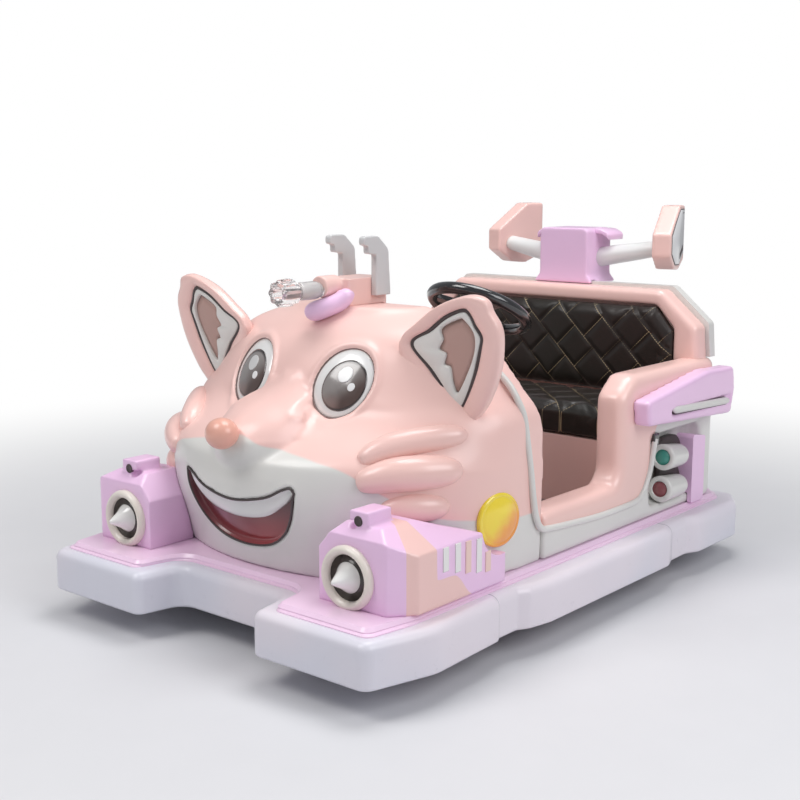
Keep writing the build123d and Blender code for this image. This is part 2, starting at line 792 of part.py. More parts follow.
# Eyes: oval caps that follow the head
eye_x = 140.0
eye_height = deck_top + 420.0
eye_half_width = 66.0
eye_half_height = 74.0
eye_proud = 4.0
with BuildPart() as eyes:
    with BuildSketch(Plane.XZ.offset(-front - 150)):
        with Locations((eye_x, eye_height)):
            Ellipse(eye_half_width, eye_half_height)
    extrude(amount=-320)
    add(face.part.moved(Location((0, -eye_proud, 0))), mode=Mode.INTERSECT)
    add(face.part, mode=Mode.SUBTRACT)
    mirror(about=Plane.YZ)
eyes.part.label = "eyes"
export_step(eyes.part, "parts/eyes.step")

# Cheek tufts: start, middle and end on the head's side, then the radius
tufts = [
    ((290.0, 272.0, 286.0), (361.0, 341.0, 310.0), (428.0, 408.0, 326.0), 29.0),
    ((298.0, 250.0, 236.0), (368.0, 307.0, 250.0), (438.0, 400.0, 254.0), 36.0),
    ((330.0, 268.0, 180.0), (379.0, 311.0, 184.0), (424.0, 372.0, 182.0), 30.0),
]
with BuildPart() as cheek_tufts:
    for start, middle, end, radius in tufts:
        p = [(x + body_half - 490, front + y, deck_top + z) for x, y, z in (start, middle, end)]
        with BuildLine() as spine:
            ThreePointArc(*p)
        with BuildSketch(Plane(origin=spine.line @ 0, z_dir=spine.line % 0)):
            RegularPolygon(radius, 12)
        sweep(path=spine.line)
        with BuildSketch(Plane(origin=spine.line @ 0, z_dir=spine.line % 0)):
            RegularPolygon(radius, 12)
        extrude(amount=-0.8 * radius, taper=35)
        with BuildSketch(Plane(origin=spine.line @ 1, z_dir=spine.line % 1)):
            RegularPolygon(radius, 12)
        extrude(amount=0.8 * radius, taper=35)
    add(face.part, mode=Mode.SUBTRACT)
    add(headlight_housings.part, mode=Mode.SUBTRACT)
    mirror(about=Plane.YZ)
cheek_tufts.part.label = "cheek_tufts"
export_step(cheek_tufts.part, "parts/cheek_tufts.step")

# Ears: outline on the ear's own plane as x, height over the deck, corner radius
ear_x = body_half - 60.0
ear_height = 509.0
ear_depth = 46.0
ear_pocket = 12.0
ear_corners = [
    (-202.0, 10.0, 14.0),
    (-85.0, 90.0, 60.0),
    (30.0, 124.0, 30.0),
    (84.0, 90.0, 24.0),
    (110.0, 40.0, 50.0),
    (62.0, -95.0, 80.0),
    (8.0, -172.0, 28.0),
    (-52.0, -158.0, 28.0),
]
inset_corners = [
    (-184.0, -4.0, 8.0),
    (-60.0, 72.0, 30.0),
    (8.0, 92.0, 20.0),
    (44.0, 34.0, 20.0),
    (50.0, 8.0, 20.0),
    (18.0, -60.0, 40.0),
    (-36.0, -140.0, 16.0),
    (-60.0, -132.0, 14.0),
]
ear_plane = Plane(
    origin=(ear_x, front + 418, deck_top + ear_height),
    x_dir=(1, -0.16, 0),
    z_dir=(-0.16, -1, -0.156))
with BuildPart() as ears:
    with BuildSketch(ear_plane):
        with BuildLine():
            rounded(ear_corners)
        make_face()
    extrude(amount=-ear_depth, taper=12)
    with BuildSketch(ear_plane):
        with BuildLine():
            rounded(inset_corners)
        make_face()
    extrude(amount=-ear_pocket, mode=Mode.SUBTRACT)
    add(face.part, mode=Mode.SUBTRACT)
    mirror(about=Plane.YZ)
ears.part.label = "ears"
export_step(ears.part, "parts/ears.step")

with BuildPart() as ear_insets:
    with BuildSketch(ear_plane.offset(-ear_pocket)):
        with BuildLine():
            rounded(inset_corners)
        make_face()
        offset(amount=-4, mode=Mode.REPLACE)
    extrude(amount=ear_pocket / 2)
    add(face.part, mode=Mode.SUBTRACT)
    mirror(about=Plane.YZ)
ear_insets.part.label = "ear_insets"
export_step(ear_insets.part, "parts/ear_insets.step")

# Toy gun on the crown: base block with its drum, clear barrel, two grips and the curl in front
gun_height = crown_top + 40.0
gun_half = 45.0
barrel_front = 278.0
drum_front = 415.0
block_start = 470.0
block_end = 605.0
with BuildPart() as gun_base:
    with Locations((0, front + (block_start + block_end) / 2, crown_top + 27)):
        Box(2 * gun_half, block_end - block_start, 74)
    with BuildSketch(Plane.XZ.offset(-front - drum_front)):
        with Locations((0, gun_height + 6)):
            Circle(26)
    extrude(amount=-(block_start - drum_front))
    add(face.part, mode=Mode.SUBTRACT)
gun_base.part.label = "gun_base"
export_step(gun_base.part, "parts/gun_base.step")

with BuildPart() as gun_barrel:
    with BuildSketch(Plane.XZ.offset(-front - drum_front)):
        with Locations((0, gun_height)):
            Circle(21)
            Circle(14, mode=Mode.SUBTRACT)
    extrude(amount=drum_front - barrel_front)
    with BuildSketch(Plane.XZ.offset(-front - barrel_front - 50)):
        with Locations((0, gun_height)):
            RegularPolygon(31, 8)
            Circle(14, mode=Mode.SUBTRACT)
    extrude(amount=50)
gun_barrel.part.label = "gun_barrel"
export_step(gun_barrel.part, "parts/gun_barrel.step")

grip_half = 9.0
grip_x = gun_half + grip_half + 0.3
grip_corners = [
    (548.0, 20.0, 0.0),
    (548.0, 117.0, 4.0),
    (520.0, 121.0, 4.0),
    (520.0, 138.0, 4.0),
    (504.0, 142.0, 4.0),
    (504.0, 162.0, 8.0),
    (555.0, 162.0, 20.0),
    (592.0, 130.0, 20.0),
    (600.0, 20.0, 0.0),
]
with BuildPart() as gun_grips:
    for side in (1, -1):
        with BuildSketch(Plane.YZ.offset(side * grip_x - grip_half)):
            with BuildLine():
                rounded([(front + y, crown_top + z, radius) for y, z, radius in grip_corners])
            make_face()
        extrude(amount=2 * grip_half)
    add(gun_base.part, mode=Mode.SUBTRACT)
    add(face.part, mode=Mode.SUBTRACT)
gun_grips.part.label = "gun_grips"
export_step(gun_grips.part, "parts/gun_grips.step")

# Curl: swept on an arc over the crown, place and height over the crown
curl_radius = 24.0
with BuildPart() as curl:
    with BuildLine() as curl_line:
        ThreePointArc(
            (-18, front + 398, crown_top - 26),
            (16, front + 428, crown_top - 6),
            (36, front + 500, crown_top + 6))
    with BuildSketch(Plane(origin=curl_line.line @ 0, z_dir=curl_line.line % 0)):
        RegularPolygon(curl_radius, 12)
    sweep(path=curl_line.line)
    with BuildSketch(Plane(origin=curl_line.line @ 0, z_dir=curl_line.line % 0)):
        RegularPolygon(curl_radius, 12)
    extrude(amount=-0.8 * curl_radius, taper=35)
    add(gun_base.part, mode=Mode.SUBTRACT)
    add(face.part, mode=Mode.SUBTRACT)
curl.part.label = "curl"
export_step(curl.part, "parts/curl.step")

# Spoiler: mount block on the backrest, tapered bars and the end plates
mount_half = 81.0
mount_front = rear_wall_front + 30.0
mount_rear = body_rear + 71.0
mount_top = backrest_top + 160.0
with BuildPart() as spoiler_mount:
    with BuildSketch(Plane.XZ.offset(-front - mount_rear)):
        with BuildLine():
            mount_corners = [
                (mount_half + 22, backrest_top, 4.0),
                (mount_half, backrest_top + 26, 14.0),
                (mount_half, mount_top, 14.0),
            ]
            rounded(mirrored(mount_corners))
        make_face()
    extrude(amount=mount_rear - mount_front)
    add(back_panel.part, mode=Mode.SUBTRACT)
    add(backrest_frame.part, mode=Mode.SUBTRACT)
spoiler_mount.part.label = "spoiler_mount"
export_step(spoiler_mount.part, "parts/spoiler_mount.step")

plate_x = 318.0
plate_place = body_rear
plate_thickness = 55.0
plate_toe = math.radians(16.0)
# End plate seen from its side: distance along it, height over the backrest, corner radius
plate_corners = [
    (0.0, 84.0, 8.0),
    (0.0, 147.0, 8.0),
    (112.0, 226.0, 10.0),
    (175.0, 226.0, 8.0),
    (175.0, 67.0, 8.0),
    (108.0, 41.0, 10.0),
    (55.0, 45.0, 10.0),
]
plate_plane = Plane(
    origin=(plate_x, front + plate_place, backrest_top),
    x_dir=(-math.sin(plate_toe), math.cos(plate_toe), 0),
    z_dir=(math.cos(plate_toe), math.sin(plate_toe), 0))
with BuildPart() as spoiler_plates:
    with BuildSketch(plate_plane):
        with BuildLine():
            rounded(plate_corners)
        make_face()
    extrude(amount=-plate_thickness)
    mirror(about=Plane.YZ)
spoiler_plates.part.label = "spoiler_plates"
export_step(spoiler_plates.part, "parts/spoiler_plates.step")

bar_bevel = 11.0
with BuildPart() as spoiler_bar:
    with BuildSketch(Plane.YZ.offset(mount_half)) as bar_root:
        with Locations((front + body_rear + 25, backrest_top + 64)):
            Rectangle(60, 79)
        chamfer(bar_root.vertices(), bar_bevel)
    with BuildSketch(Plane.YZ.offset(plate_x - plate_thickness)) as bar_tip:
        with Locations((front + body_rear + 41, backrest_top + 106)):
            Rectangle(50, 44)
        chamfer(bar_tip.vertices(), bar_bevel)
    loft(ruled=True)
    add(spoiler_plates.part, mode=Mode.SUBTRACT)
    add(spoiler_mount.part, mode=Mode.SUBTRACT)
    mirror(about=Plane.YZ)
spoiler_bar.part.label = "spoiler_bar"
export_step(spoiler_bar.part, "parts/spoiler_bar.step")

# Round badge on the head's side, square to the side there
badge_radius = 62.0
badge_thickness = 16.0
badge_yaw = math.radians(10.8)
badge_plane = Plane(
    origin=(body_half - 20, front + 478, deck_top + 131),
    x_dir=(math.sin(badge_yaw), math.cos(badge_yaw), 0),
    z_dir=(math.cos(badge_yaw), -math.sin(badge_yaw), 0))
with BuildPart() as badges:
    with BuildSketch(badge_plane):
        Circle(badge_radius)
    extrude(amount=badge_thickness)
    chamfer(badges.faces().sort_by(Axis.X)[-1].edges(), badge_thickness / 2)
    with BuildSketch(badge_plane.offset(-30)):
        Circle(badge_radius)
    extrude(amount=30)
    add(face.part, mode=Mode.SUBTRACT)
    add(headlight_housings.part, mode=Mode.SUBTRACT)
    mirror(about=Plane.YZ)
badges.part.label = "badges"
export_step(badges.part, "parts/badges.step")

# Side wings over the tail: place, height over the deck, corner radius, then the slot in them
wing_out = 46.0
wing_corners = [
    (door_rear + 55, 260.0, 10.0),
    (door_rear + 45, 324.0, 12.0),
    (door_rear + 362, 366.0, 20.0),
    (body_rear - 20, 362.0, 16.0),
    (body_rear - 10, 300.0, 8.0),
    (body_rear - 28, 232.0, 10.0),
]
slot_corners = [
    (door_rear + 168, 270.0, 10.0),
    (door_rear + 168, 290.0, 10.0),
    (body_rear - 28, 288.0, 4.0),
    (body_rear - 28, 266.0, 4.0),
]
slot_depth = 10.0
with BuildPart() as side_wings:
    with BuildSketch(Plane.YZ.offset(body_half)):
        with BuildLine():
            rounded([(front + y, deck_top + z, radius) for y, z, radius in wing_corners])
        make_face()
    extrude(amount=wing_out)
    chamfer(side_wings.faces().sort_by(Axis.X)[-1].edges(), 6)
    with BuildSketch(Plane.YZ.offset(body_half + wing_out - slot_depth)):
        with BuildLine():
            rounded([(front + y, deck_top + z, radius) for y, z, radius in slot_corners])
        make_face()
    extrude(amount=slot_depth, mode=Mode.SUBTRACT)
    add(body.part, mode=Mode.SUBTRACT)
    mirror(about=Plane.YZ)
side_wings.part.label = "side_wings"
export_step(side_wings.part, "parts/side_wings.step")

with BuildPart() as wing_bars:
    with BuildSketch(Plane.YZ.offset(body_half + wing_out - slot_depth)):
        with BuildLine():
            rounded([(front + y, deck_top + z, radius) for y, z, radius in slot_corners])
        make_face()
        offset(amount=-3, mode=Mode.REPLACE)
    extrude(amount=slot_depth - 2)
    mirror(about=Plane.YZ)
wing_bars.part.label = "wing_bars"
export_step(wing_bars.part, "parts/wing_bars.step")

# Exhaust blocks in the tail recess, each with two horns that point forward
recess_floor = body_half - recess_in
block_corners = [
    (door_rear + 355, 0.5, 4.0),
    (door_rear + 355, 190.0, 10.0),
    (door_rear + 425, 178.0, 8.0),
    (door_rear + 425, 0.5, 4.0),
]
horn_radius = 33.0
horn_sides = 24
horn_bore = 23.0
horn_tail_radius = 26.0
horn_x = body_half - 4.0
horns = [
    (door_rear + 200, deck_top + 150, deck_top + 132),
    (door_rear + 188, deck_top + 68, deck_top + 54),
]
with BuildPart() as exhaust_housings:
    with BuildSketch(Plane.YZ.offset(recess_floor)):
        with BuildLine():
            rounded([(front + y, deck_top + z, radius) for y, z, radius in block_corners])
        make_face()
    extrude(amount=recess_in + 12)
    add(body.part, mode=Mode.SUBTRACT)
    mirror(about=Plane.YZ)
exhaust_housings.part.label = "exhaust_housings"
export_step(exhaust_housings.part, "parts/exhaust_housings.step")

with BuildPart() as exhaust_tubes:
    for place, mouth_height, tail_height in horns:
        with BuildSketch(Plane.XZ.offset(-front - place)):
            with Locations((horn_x, mouth_height)):
                RegularPolygon(horn_radius, horn_sides)
        with BuildSketch(Plane.XZ.offset(-front - door_rear - 355)):
            with Locations((horn_x, tail_height)):
                RegularPolygon(horn_tail_radius, horn_sides)
        loft(ruled=True)
        with BuildSketch(Plane.XZ.offset(-front - place)):
            with Locations((horn_x, mouth_height)):
                Circle(horn_bore)
        extrude(amount=-34, mode=Mode.SUBTRACT)
    mirror(about=Plane.YZ)
exhaust_tubes.part.label = "exhaust_tubes"
export_step(exhaust_tubes.part, "parts/exhaust_tubes.step")
print("built")
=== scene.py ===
# %% [markdown]
# A battery bumper car, dressed in Blender.
# The rigid solids come ready made in the frame, at real size, and stay where they are.
# This script gives each of them its finish, and adds what a solid modeller makes badly: the soft
# blend of the face, domed eyes, rounded ears, cord-like trim and the stitched bench.
# Every new surface is worked out with numpy as one array of points, and then joined into a mesh.

# %% Tools and the frame
import math
import bmesh
import bpy
import numpy as np
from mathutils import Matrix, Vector


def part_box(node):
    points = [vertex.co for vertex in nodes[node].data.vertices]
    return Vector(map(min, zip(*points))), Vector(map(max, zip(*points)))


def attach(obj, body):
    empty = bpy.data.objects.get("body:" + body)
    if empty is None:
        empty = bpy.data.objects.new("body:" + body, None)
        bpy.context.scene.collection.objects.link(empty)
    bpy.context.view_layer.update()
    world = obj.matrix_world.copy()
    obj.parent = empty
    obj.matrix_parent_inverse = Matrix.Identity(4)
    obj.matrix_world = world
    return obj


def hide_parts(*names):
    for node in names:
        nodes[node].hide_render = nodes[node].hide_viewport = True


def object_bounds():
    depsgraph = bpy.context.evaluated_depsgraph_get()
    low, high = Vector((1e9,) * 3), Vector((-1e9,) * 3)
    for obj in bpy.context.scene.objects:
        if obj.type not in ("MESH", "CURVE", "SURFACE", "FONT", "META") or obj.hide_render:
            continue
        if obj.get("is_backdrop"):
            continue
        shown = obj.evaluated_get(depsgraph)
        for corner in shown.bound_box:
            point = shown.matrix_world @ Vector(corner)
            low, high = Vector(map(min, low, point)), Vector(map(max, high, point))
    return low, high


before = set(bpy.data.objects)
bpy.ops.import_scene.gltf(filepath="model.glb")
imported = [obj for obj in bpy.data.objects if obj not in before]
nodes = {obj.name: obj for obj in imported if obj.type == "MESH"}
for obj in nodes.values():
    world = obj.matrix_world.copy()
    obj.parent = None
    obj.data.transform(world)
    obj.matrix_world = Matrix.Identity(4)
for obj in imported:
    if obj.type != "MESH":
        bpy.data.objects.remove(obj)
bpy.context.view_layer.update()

# %% [markdown]
# The car is measured as its builder would measure it: millimetres from the middle of the car,
# from the front of the bumper, and up from the floor. Two helpers turn those into frame metres.

# %% Places in millimetres
front_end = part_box("bumper_front")[0].y


def spot(x, y, z):
    """Points from millimetres: x from the middle, y back from the bumper's front, z up from the floor."""
    parts = np.broadcast_arrays(
        np.asarray(x, float) / 1000, front_end + np.asarray(y, float) / 1000, np.asarray(z, float) / 1000
    )
    return np.stack(parts, axis=-1)


def spots(rows):
    """Points from a list of (x, y, z) rows in millimetres."""
    return spot(*np.array(rows, float).T)


print("front of the bumper at", round(front_end, 3), "m")

# %% [markdown]
# A surface is a table of points with rows and columns. Neighbours in the table become the four
# corners of a face. A table can close round its columns, as a tube does, and its first and last
# rows can close on a middle point, so that nothing is left open. A few more helpers read and write
# a mesh's points as one array, and give every piece its finish and its body.

# %% Surfaces from tables of points
def surface(name, points, material, closed=True, capped=True, body="car", slot="pink"):
    """Joins points[row, column] to their neighbours; closed joins the last column to the first,
    and capped closes the first and last row with a fan round the row's mean point."""
    rows, columns = points.shape[:2]
    across = np.arange(columns if closed else columns - 1)
    row, column = np.meshgrid(np.arange(rows - 1), across, indexing="ij")
    after = (column + 1) % columns
    quads = np.stack([row * columns + column, row * columns + after,
                      (row + 1) * columns + after, (row + 1) * columns + column], axis=-1)
    vertices = points.reshape(-1, 3)
    faces = quads.reshape(-1, 4).tolist()
    if capped:
        middles = points[[0, -1]].mean(axis=1)
        first = rows * columns
        ring = np.stack([across, (across + 1) % columns], axis=-1)
        last_row = (rows - 1) * columns
        faces += [[b, a, first] for a, b in ring.tolist()]
        faces += [[last_row + a, last_row + b, first + 1] for a, b in ring.tolist()]
        vertices = np.concatenate([vertices, middles])
    return piece(name, vertices, faces, material, body)


def points_of(mesh, what="co"):
    """A mesh's places, or its normals, as one array with a row x, y, z for each point."""
    flat = np.empty(len(mesh.vertices) * 3)
    mesh.vertices.foreach_get(what, flat)
    return flat.reshape(-1, 3)


def move_points(mesh, places):
    """Writes an array of places back into a mesh."""
    mesh.vertices.foreach_set("co", places.ravel())
    mesh.update()


def placed(name, data):
    """A new object in the scene that carries a mesh, a lamp or a camera."""
    made = bpy.data.objects.new(name, data)
    bpy.context.scene.collection.objects.link(made)
    return made


def dressed(made, material, body="car"):
    """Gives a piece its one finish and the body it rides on."""
    made.data.materials.clear()
    made.data.materials.append(finishes[material])
    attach(made, body)
    print(made.name, len(made.data.polygons), "faces")
    return made


def piece(name, vertices, faces, material, body="car"):
    """A smooth mesh object with its faces turned outwards, riding on one body of the frame."""
    mesh = bpy.data.meshes.new(name)
    mesh.from_pydata(np.asarray(vertices).tolist(), [], faces)
    work = bmesh.new()
    work.from_mesh(mesh)
    bmesh.ops.remove_doubles(work, verts=work.verts, dist=1e-6)
    bmesh.ops.recalc_face_normals(work, faces=work.faces)
    work.to_mesh(mesh)
    work.free()
    mesh.shade_smooth()
    return dressed(placed(name, mesh), material, body)


# %% [markdown]
# Trim such as piping, seams and grooves is one small section carried along a line. The line is
# given by a few points, and a curve that passes through all of them is read at even steps.

# %% Lines, tubes and rounded outlines
def through(points, count, closed=False):
    """A curve through the given points: each stretch is the cubic whose slope at a point is half
    the step between its two neighbours. Gives count places at even steps of the parameter."""
    points = np.asarray(points, float)
    if closed:
        points = np.concatenate([points[-1:], points, points[:2]])
    else:
        points = np.concatenate([2 * points[:1] - points[1:2], points, 2 * points[-1:] - points[-2:-1]])
    spans = len(points) - 3
    u = np.linspace(0, spans, count, endpoint=not closed)
    k = np.minimum(u.astype(int), spans - 1)
    t = (u - k)[:, None]
    a, b, c, d = points[k], points[k + 1], points[k + 2], points[k + 3]
    return 0.5 * (2 * b + (c - a) * t + (2 * a - 5 * b + 4 * c - d) * t**2 + (3 * b - a - 3 * c + d) * t**3)


def tube(name, line, radius, material, closed=False, sides=12, up=(0, 0, 1), flat=1.0, **more):
    """A round section carried along a line: point = line + radius * (cos(a) * side + flat * sin(a) *
    lift), where side is across the line and up, and lift is across the line and side."""
    ahead = np.roll(line, -1, axis=0) - np.roll(line, 1, axis=0)
    if not closed:
        ahead[0], ahead[-1] = line[1] - line[0], line[-1] - line[-2]
    ahead /= np.linalg.norm(ahead, axis=1, keepdims=True)
    side = np.cross(ahead, np.broadcast_to(up, ahead.shape))
    side /= np.linalg.norm(side, axis=1, keepdims=True)
    lift = np.cross(side, ahead)
    angle = np.linspace(0, 2 * np.pi, sides, endpoint=False)[None, :, None]
    radius = np.broadcast_to(np.asarray(radius, float), len(line))[:, None, None]
    ring = radius * (np.cos(angle) * side[:, None] + flat * np.sin(angle) * lift[:, None])
    points = line[:, None] + ring
    if closed:
        points = np.concatenate([points, points[:1]])
    return surface(name, points, material, capped=not closed, **more)


print("helpers ready")

# %% [markdown]
# The car's shells are glass fibre with a coloured gelcoat: a clean glossy skin, never quite even.
# Under studio light it shows faint colour drift, a slight ripple, and fine scuffs in the gloss.
# All of the shells share that, so it is one node group with its own inputs.

# %% A node group for moulded skins
def new_group(name, inputs, outputs):
    """An empty shader node group with named inputs and outputs."""
    group = bpy.data.node_groups.new(name, "ShaderNodeTree")
    for label, kind, value in inputs:
        socket = group.interface.new_socket(label, in_out="INPUT", socket_type=kind)
        socket.default_value = value
    for label, kind in outputs:
        group.interface.new_socket(label, in_out="OUTPUT", socket_type=kind)
    tree = Tree(group)
    tree.inside = tree.add("NodeGroupInput")
    tree.out = tree.add("NodeGroupOutput")
    return group, tree


class Tree:
    """Short words for adding nodes to a tree and linking them."""

    def __init__(self, tree):
        self.tree = tree

    def add(self, kind, **values):
        """Adds a node; values set its properties, or the inputs whose names they carry."""
        node = self.tree.nodes.new(kind if kind.startswith("Node") else "ShaderNode" + kind)
        for key, value in values.items():
            if hasattr(node, key):
                setattr(node, key, value)
            else:
                self.put(value, node.inputs[key.replace("_", " ")])
        return node

    def put(self, value, socket):
        """Links an output to the socket, or writes a plain value into it."""
        if isinstance(value, bpy.types.NodeSocket):
            self.tree.links.new(value, socket)
        else:
            socket.default_value = value

    def maths(self, operation, a, b=0.0, c=0.0):
        """One Math node on up to three values."""
        node = self.add("Math", operation=operation)
        for value, socket in zip((a, b, c), node.inputs):
            self.put(value, socket)
        return node.outputs[0]

    def plus(self, a, b):
        """a + b"""
        return self.maths("ADD", a, b)

    def minus(self, a, b):
        """a - b"""
        return self.maths("SUBTRACT", a, b)

    def times(self, a, b):
        """a * b"""
        return self.maths("MULTIPLY", a, b)

    def fused(self, a, b, c):
        """a * b + c"""
        return self.maths("MULTIPLY_ADD", a, b, c)

    def size(self, a):
        """The value without its sign."""
        return self.maths("ABSOLUTE", a)

    def noise(self, where, scale, detail=1.0, rough=0.5):
        """Soft noise between 0 and 1, with more small marks as detail and rough go up."""
        node = self.add("TexNoise", Vector=where, Scale=scale, Detail=detail, Roughness=rough)
        return node.outputs["Fac"]

    def mix(self, factor, a, b):
        """Mixes two colours by a factor."""
        node = self.add("Mix", data_type="RGBA", blend_type="MIX")
        for value, socket in zip((factor, a, b), (node.inputs[0], node.inputs[6], node.inputs[7])):
            self.put(value, socket)
        return node.outputs[2]

    def ramp(self, value, low, high, start=0.0, end=1.0):
        """A smooth step: start below low, end above high."""
        node = self.add("MapRange", interpolation_type="SMOOTHSTEP")
        for given, socket in zip((value, low, high, start, end), node.inputs):
            self.put(given, socket)
        return node.outputs[0]

    def place(self):
        """Object coordinates, which are frame metres, and their three parts."""
        where = self.add("TexCoord").outputs["Object"]
        return where, self.add("SeparateXYZ", Vector=where).outputs


skin, tree = new_group(
    "Moulded skin",
    [("Colour", "NodeSocketColor", (0.8, 0.8, 0.8, 1)), ("Drift", "NodeSocketFloat", 0.05),
     ("Roughness", "NodeSocketFloat", 0.25), ("Scuff", "NodeSocketFloat", 0.05),
     ("Ripple scale", "NodeSocketFloat", 22.0), ("Grain", "NodeSocketFloat", 0.0)],
    [("Colour", "NodeSocketColor"), ("Roughness", "NodeSocketFloat"), ("Height", "NodeSocketFloat")],
)
where = tree.place()[0]
given = tree.inside.outputs
cloud = tree.noise(where, 3.2, 3.0)
rub = tree.noise(where, 46.0, 2.0)
ripple = tree.noise(where, given["Ripple scale"])
grain = tree.noise(where, 900.0)
swing = tree.times(tree.minus(cloud, 0.5), given["Drift"])
shift = tree.plus(1.0, tree.times(swing, 2.0))
tint = tree.add("VectorMath", operation="MULTIPLY")
tree.put(given["Colour"], tint.inputs[0])
tree.put(tree.add("CombineXYZ", X=shift, Y=shift, Z=shift).outputs[0], tint.inputs[1])
tree.put(tint.outputs[0], tree.out.inputs["Colour"])
marked = tree.ramp(rub, 0.52, 0.75)
tree.put(tree.fused(marked, given["Scuff"], given["Roughness"]), tree.out.inputs["Roughness"])
relief = tree.fused(grain, given["Grain"], tree.times(ripple, 0.8))
tree.put(relief, tree.out.inputs["Height"])
print("node group", skin.name)

# %% [markdown]
# The upper shells are pink above a sprayed line and white-grey below it, and the line wanders
# round the face. A second group compares a point's height with the line's height there.

# %% A node group for two-colour shells
two_tone, tree = new_group(
    "Two colours at a line",
    [("Above", "NodeSocketColor", (1, 1, 1, 1)), ("Below", "NodeSocketColor", (1, 1, 1, 1)),
     ("Height over line", "NodeSocketFloat", 0.0), ("Softness", "NodeSocketFloat", 0.002)],
    [("Colour", "NodeSocketColor"), ("Mask", "NodeSocketFloat")],
)
given = tree.inside.outputs
edge = tree.ramp(given["Height over line"], tree.times(given["Softness"], -1.0), given["Softness"])
tree.put(tree.mix(edge, given["Below"], given["Above"]), tree.out.inputs["Colour"])
tree.put(edge, tree.out.inputs["Mask"])
print("node group", two_tone.name)

# %% [markdown]
# Each finish is a Principled shader in its own material. Colours are the ones that the moulded
# parts have in daylight. The clear top coat is the same all over, so it is set on the shader.

# %% Finishes of the shells
finishes = {}


def finish(name, colour, drift=0.05, roughness=0.3, scuff=0.01, ripple=9.0, bump=0.08, coat=0.35,
           grain=0.0, **sockets):
    """A moulded finish: the skin group feeds colour, roughness and bump. colour is a plain colour,
    or a function that adds nodes to the tree and gives an output."""
    material = bpy.data.materials.new(name)
    material.use_nodes = True
    work = Tree(material.node_tree)
    shader = material.node_tree.nodes["Principled BSDF"]
    mould = work.add("Group", node_tree=skin)
    work.put(colour(work) if callable(colour) else (*colour, 1.0), mould.inputs["Colour"])
    values = {"Drift": drift, "Roughness": roughness, "Scuff": scuff, "Ripple scale": ripple, "Grain": grain}
    for label, value in values.items():
        mould.inputs[label].default_value = value
    work.put(mould.outputs["Colour"], shader.inputs["Base Color"])
    work.put(mould.outputs["Roughness"], shader.inputs["Roughness"])
    relief = work.add("Bump", Height=mould.outputs["Height"], Strength=bump, Distance=0.002)
    work.put(relief.outputs[0], shader.inputs["Normal"])
    shader.inputs["Coat Weight"].default_value = coat
    shader.inputs["Coat Roughness"].default_value = 0.16
    for label, value in sockets.items():
        shader.inputs[label.replace("_", " ")].default_value = value
    finishes[name] = material


pink_colour = (0.89, 0.59, 0.54)
white_colour = (0.71, 0.70, 0.67)
lilac_colour = (0.86, 0.58, 0.82)
finish("lilac_gelcoat", lilac_colour)
finish("deck_gelcoat", (0.91, 0.66, 0.85))
finish("white_gelcoat", white_colour)
finish("pink_gelcoat", pink_colour)
finish("salmon_nose", (0.80, 0.42, 0.33), roughness=0.3)
finish("ivory_ring", (0.80, 0.74, 0.66), roughness=0.32, coat=0.3)
finish("pearl_cone", (0.82, 0.81, 0.79), roughness=0.2, coat=1.0)
finish("grip_plastic", (0.62, 0.62, 0.62), roughness=0.42, coat=0.1, ripple=60.0, grain=0.02)
finish("bar_plastic", (0.74, 0.75, 0.74), roughness=0.38, coat=0.2)
finish("black_gloss", (0.012, 0.012, 0.014), drift=0.3, roughness=0.14, coat=1.0, bump=0.1)
finish("steel_paint", (0.03, 0.03, 0.033), drift=0.4, roughness=0.45, coat=0.1, bump=0.4, ripple=160.0)
finish("battery_case", (0.035, 0.036, 0.04), drift=0.3, roughness=0.5, coat=0.0, bump=0.4)
finish("peach_band", (0.86, 0.62, 0.55))
finish("wheel_hub", (0.42, 0.43, 0.45), roughness=0.38, coat=0.0, Metallic=1.0)
finish("dark_bowl", (0.03, 0.022, 0.018), roughness=0.3, coat=0.6)
print(len(finishes), "finishes")

# %% [markdown]
# The bumper is a thick moulded ring that takes the knocks, satin rather than glossy. Its lower
# half is darker, in grey blotches that grow denser towards the floor; the height of a point drives them.

# %% Finish of the bumper ring
bumper_seams = (0.404, 1.150)  # joints between the sections, in metres behind the front


def bumper_colour(work):
    """Pale lavender, drifting to a pinker white, with darker grey blotches that grow denser towards the floor.
    """
    where, part = work.place()
    cloud = work.noise(where, 2.1, 2.0)
    base = work.mix(work.ramp(cloud, 0.35, 0.65), (0.70, 0.70, 0.78, 1), (0.79, 0.73, 0.79, 1))
    # grey blotches darken the lower part of the ring, more of them towards the floor
    grey_blotches = work.noise(where, 38.0, 5.0, 0.75)
    low = work.ramp(part[2], 0.065, 0.15, 1.0, 0.15)
    low_darkening = work.times(work.ramp(grey_blotches, 0.58, 0.78), work.times(low, 0.4))
    marked = work.mix(low_darkening, base, (0.33, 0.31, 0.36, 1))
    for place in bumper_seams:
        off = work.size(work.minus(part[1], front_end + place))
        marked = work.mix(work.ramp(off, 0.0021, 0.0013), marked, (0.40, 0.38, 0.44, 1))
    return marked


finish("bumper_skin", bumper_colour, drift=0.03, roughness=0.36, scuff=0.02, ripple=9.0, bump=0.15, coat=0.25)
print("bumper skin")

# %% [markdown]
# On the face the sprayed line runs level along the sides, climbs over the cheeks and dips at the
# nose. A Float Curve holds the line's height along the car, so the pattern follows any surface.

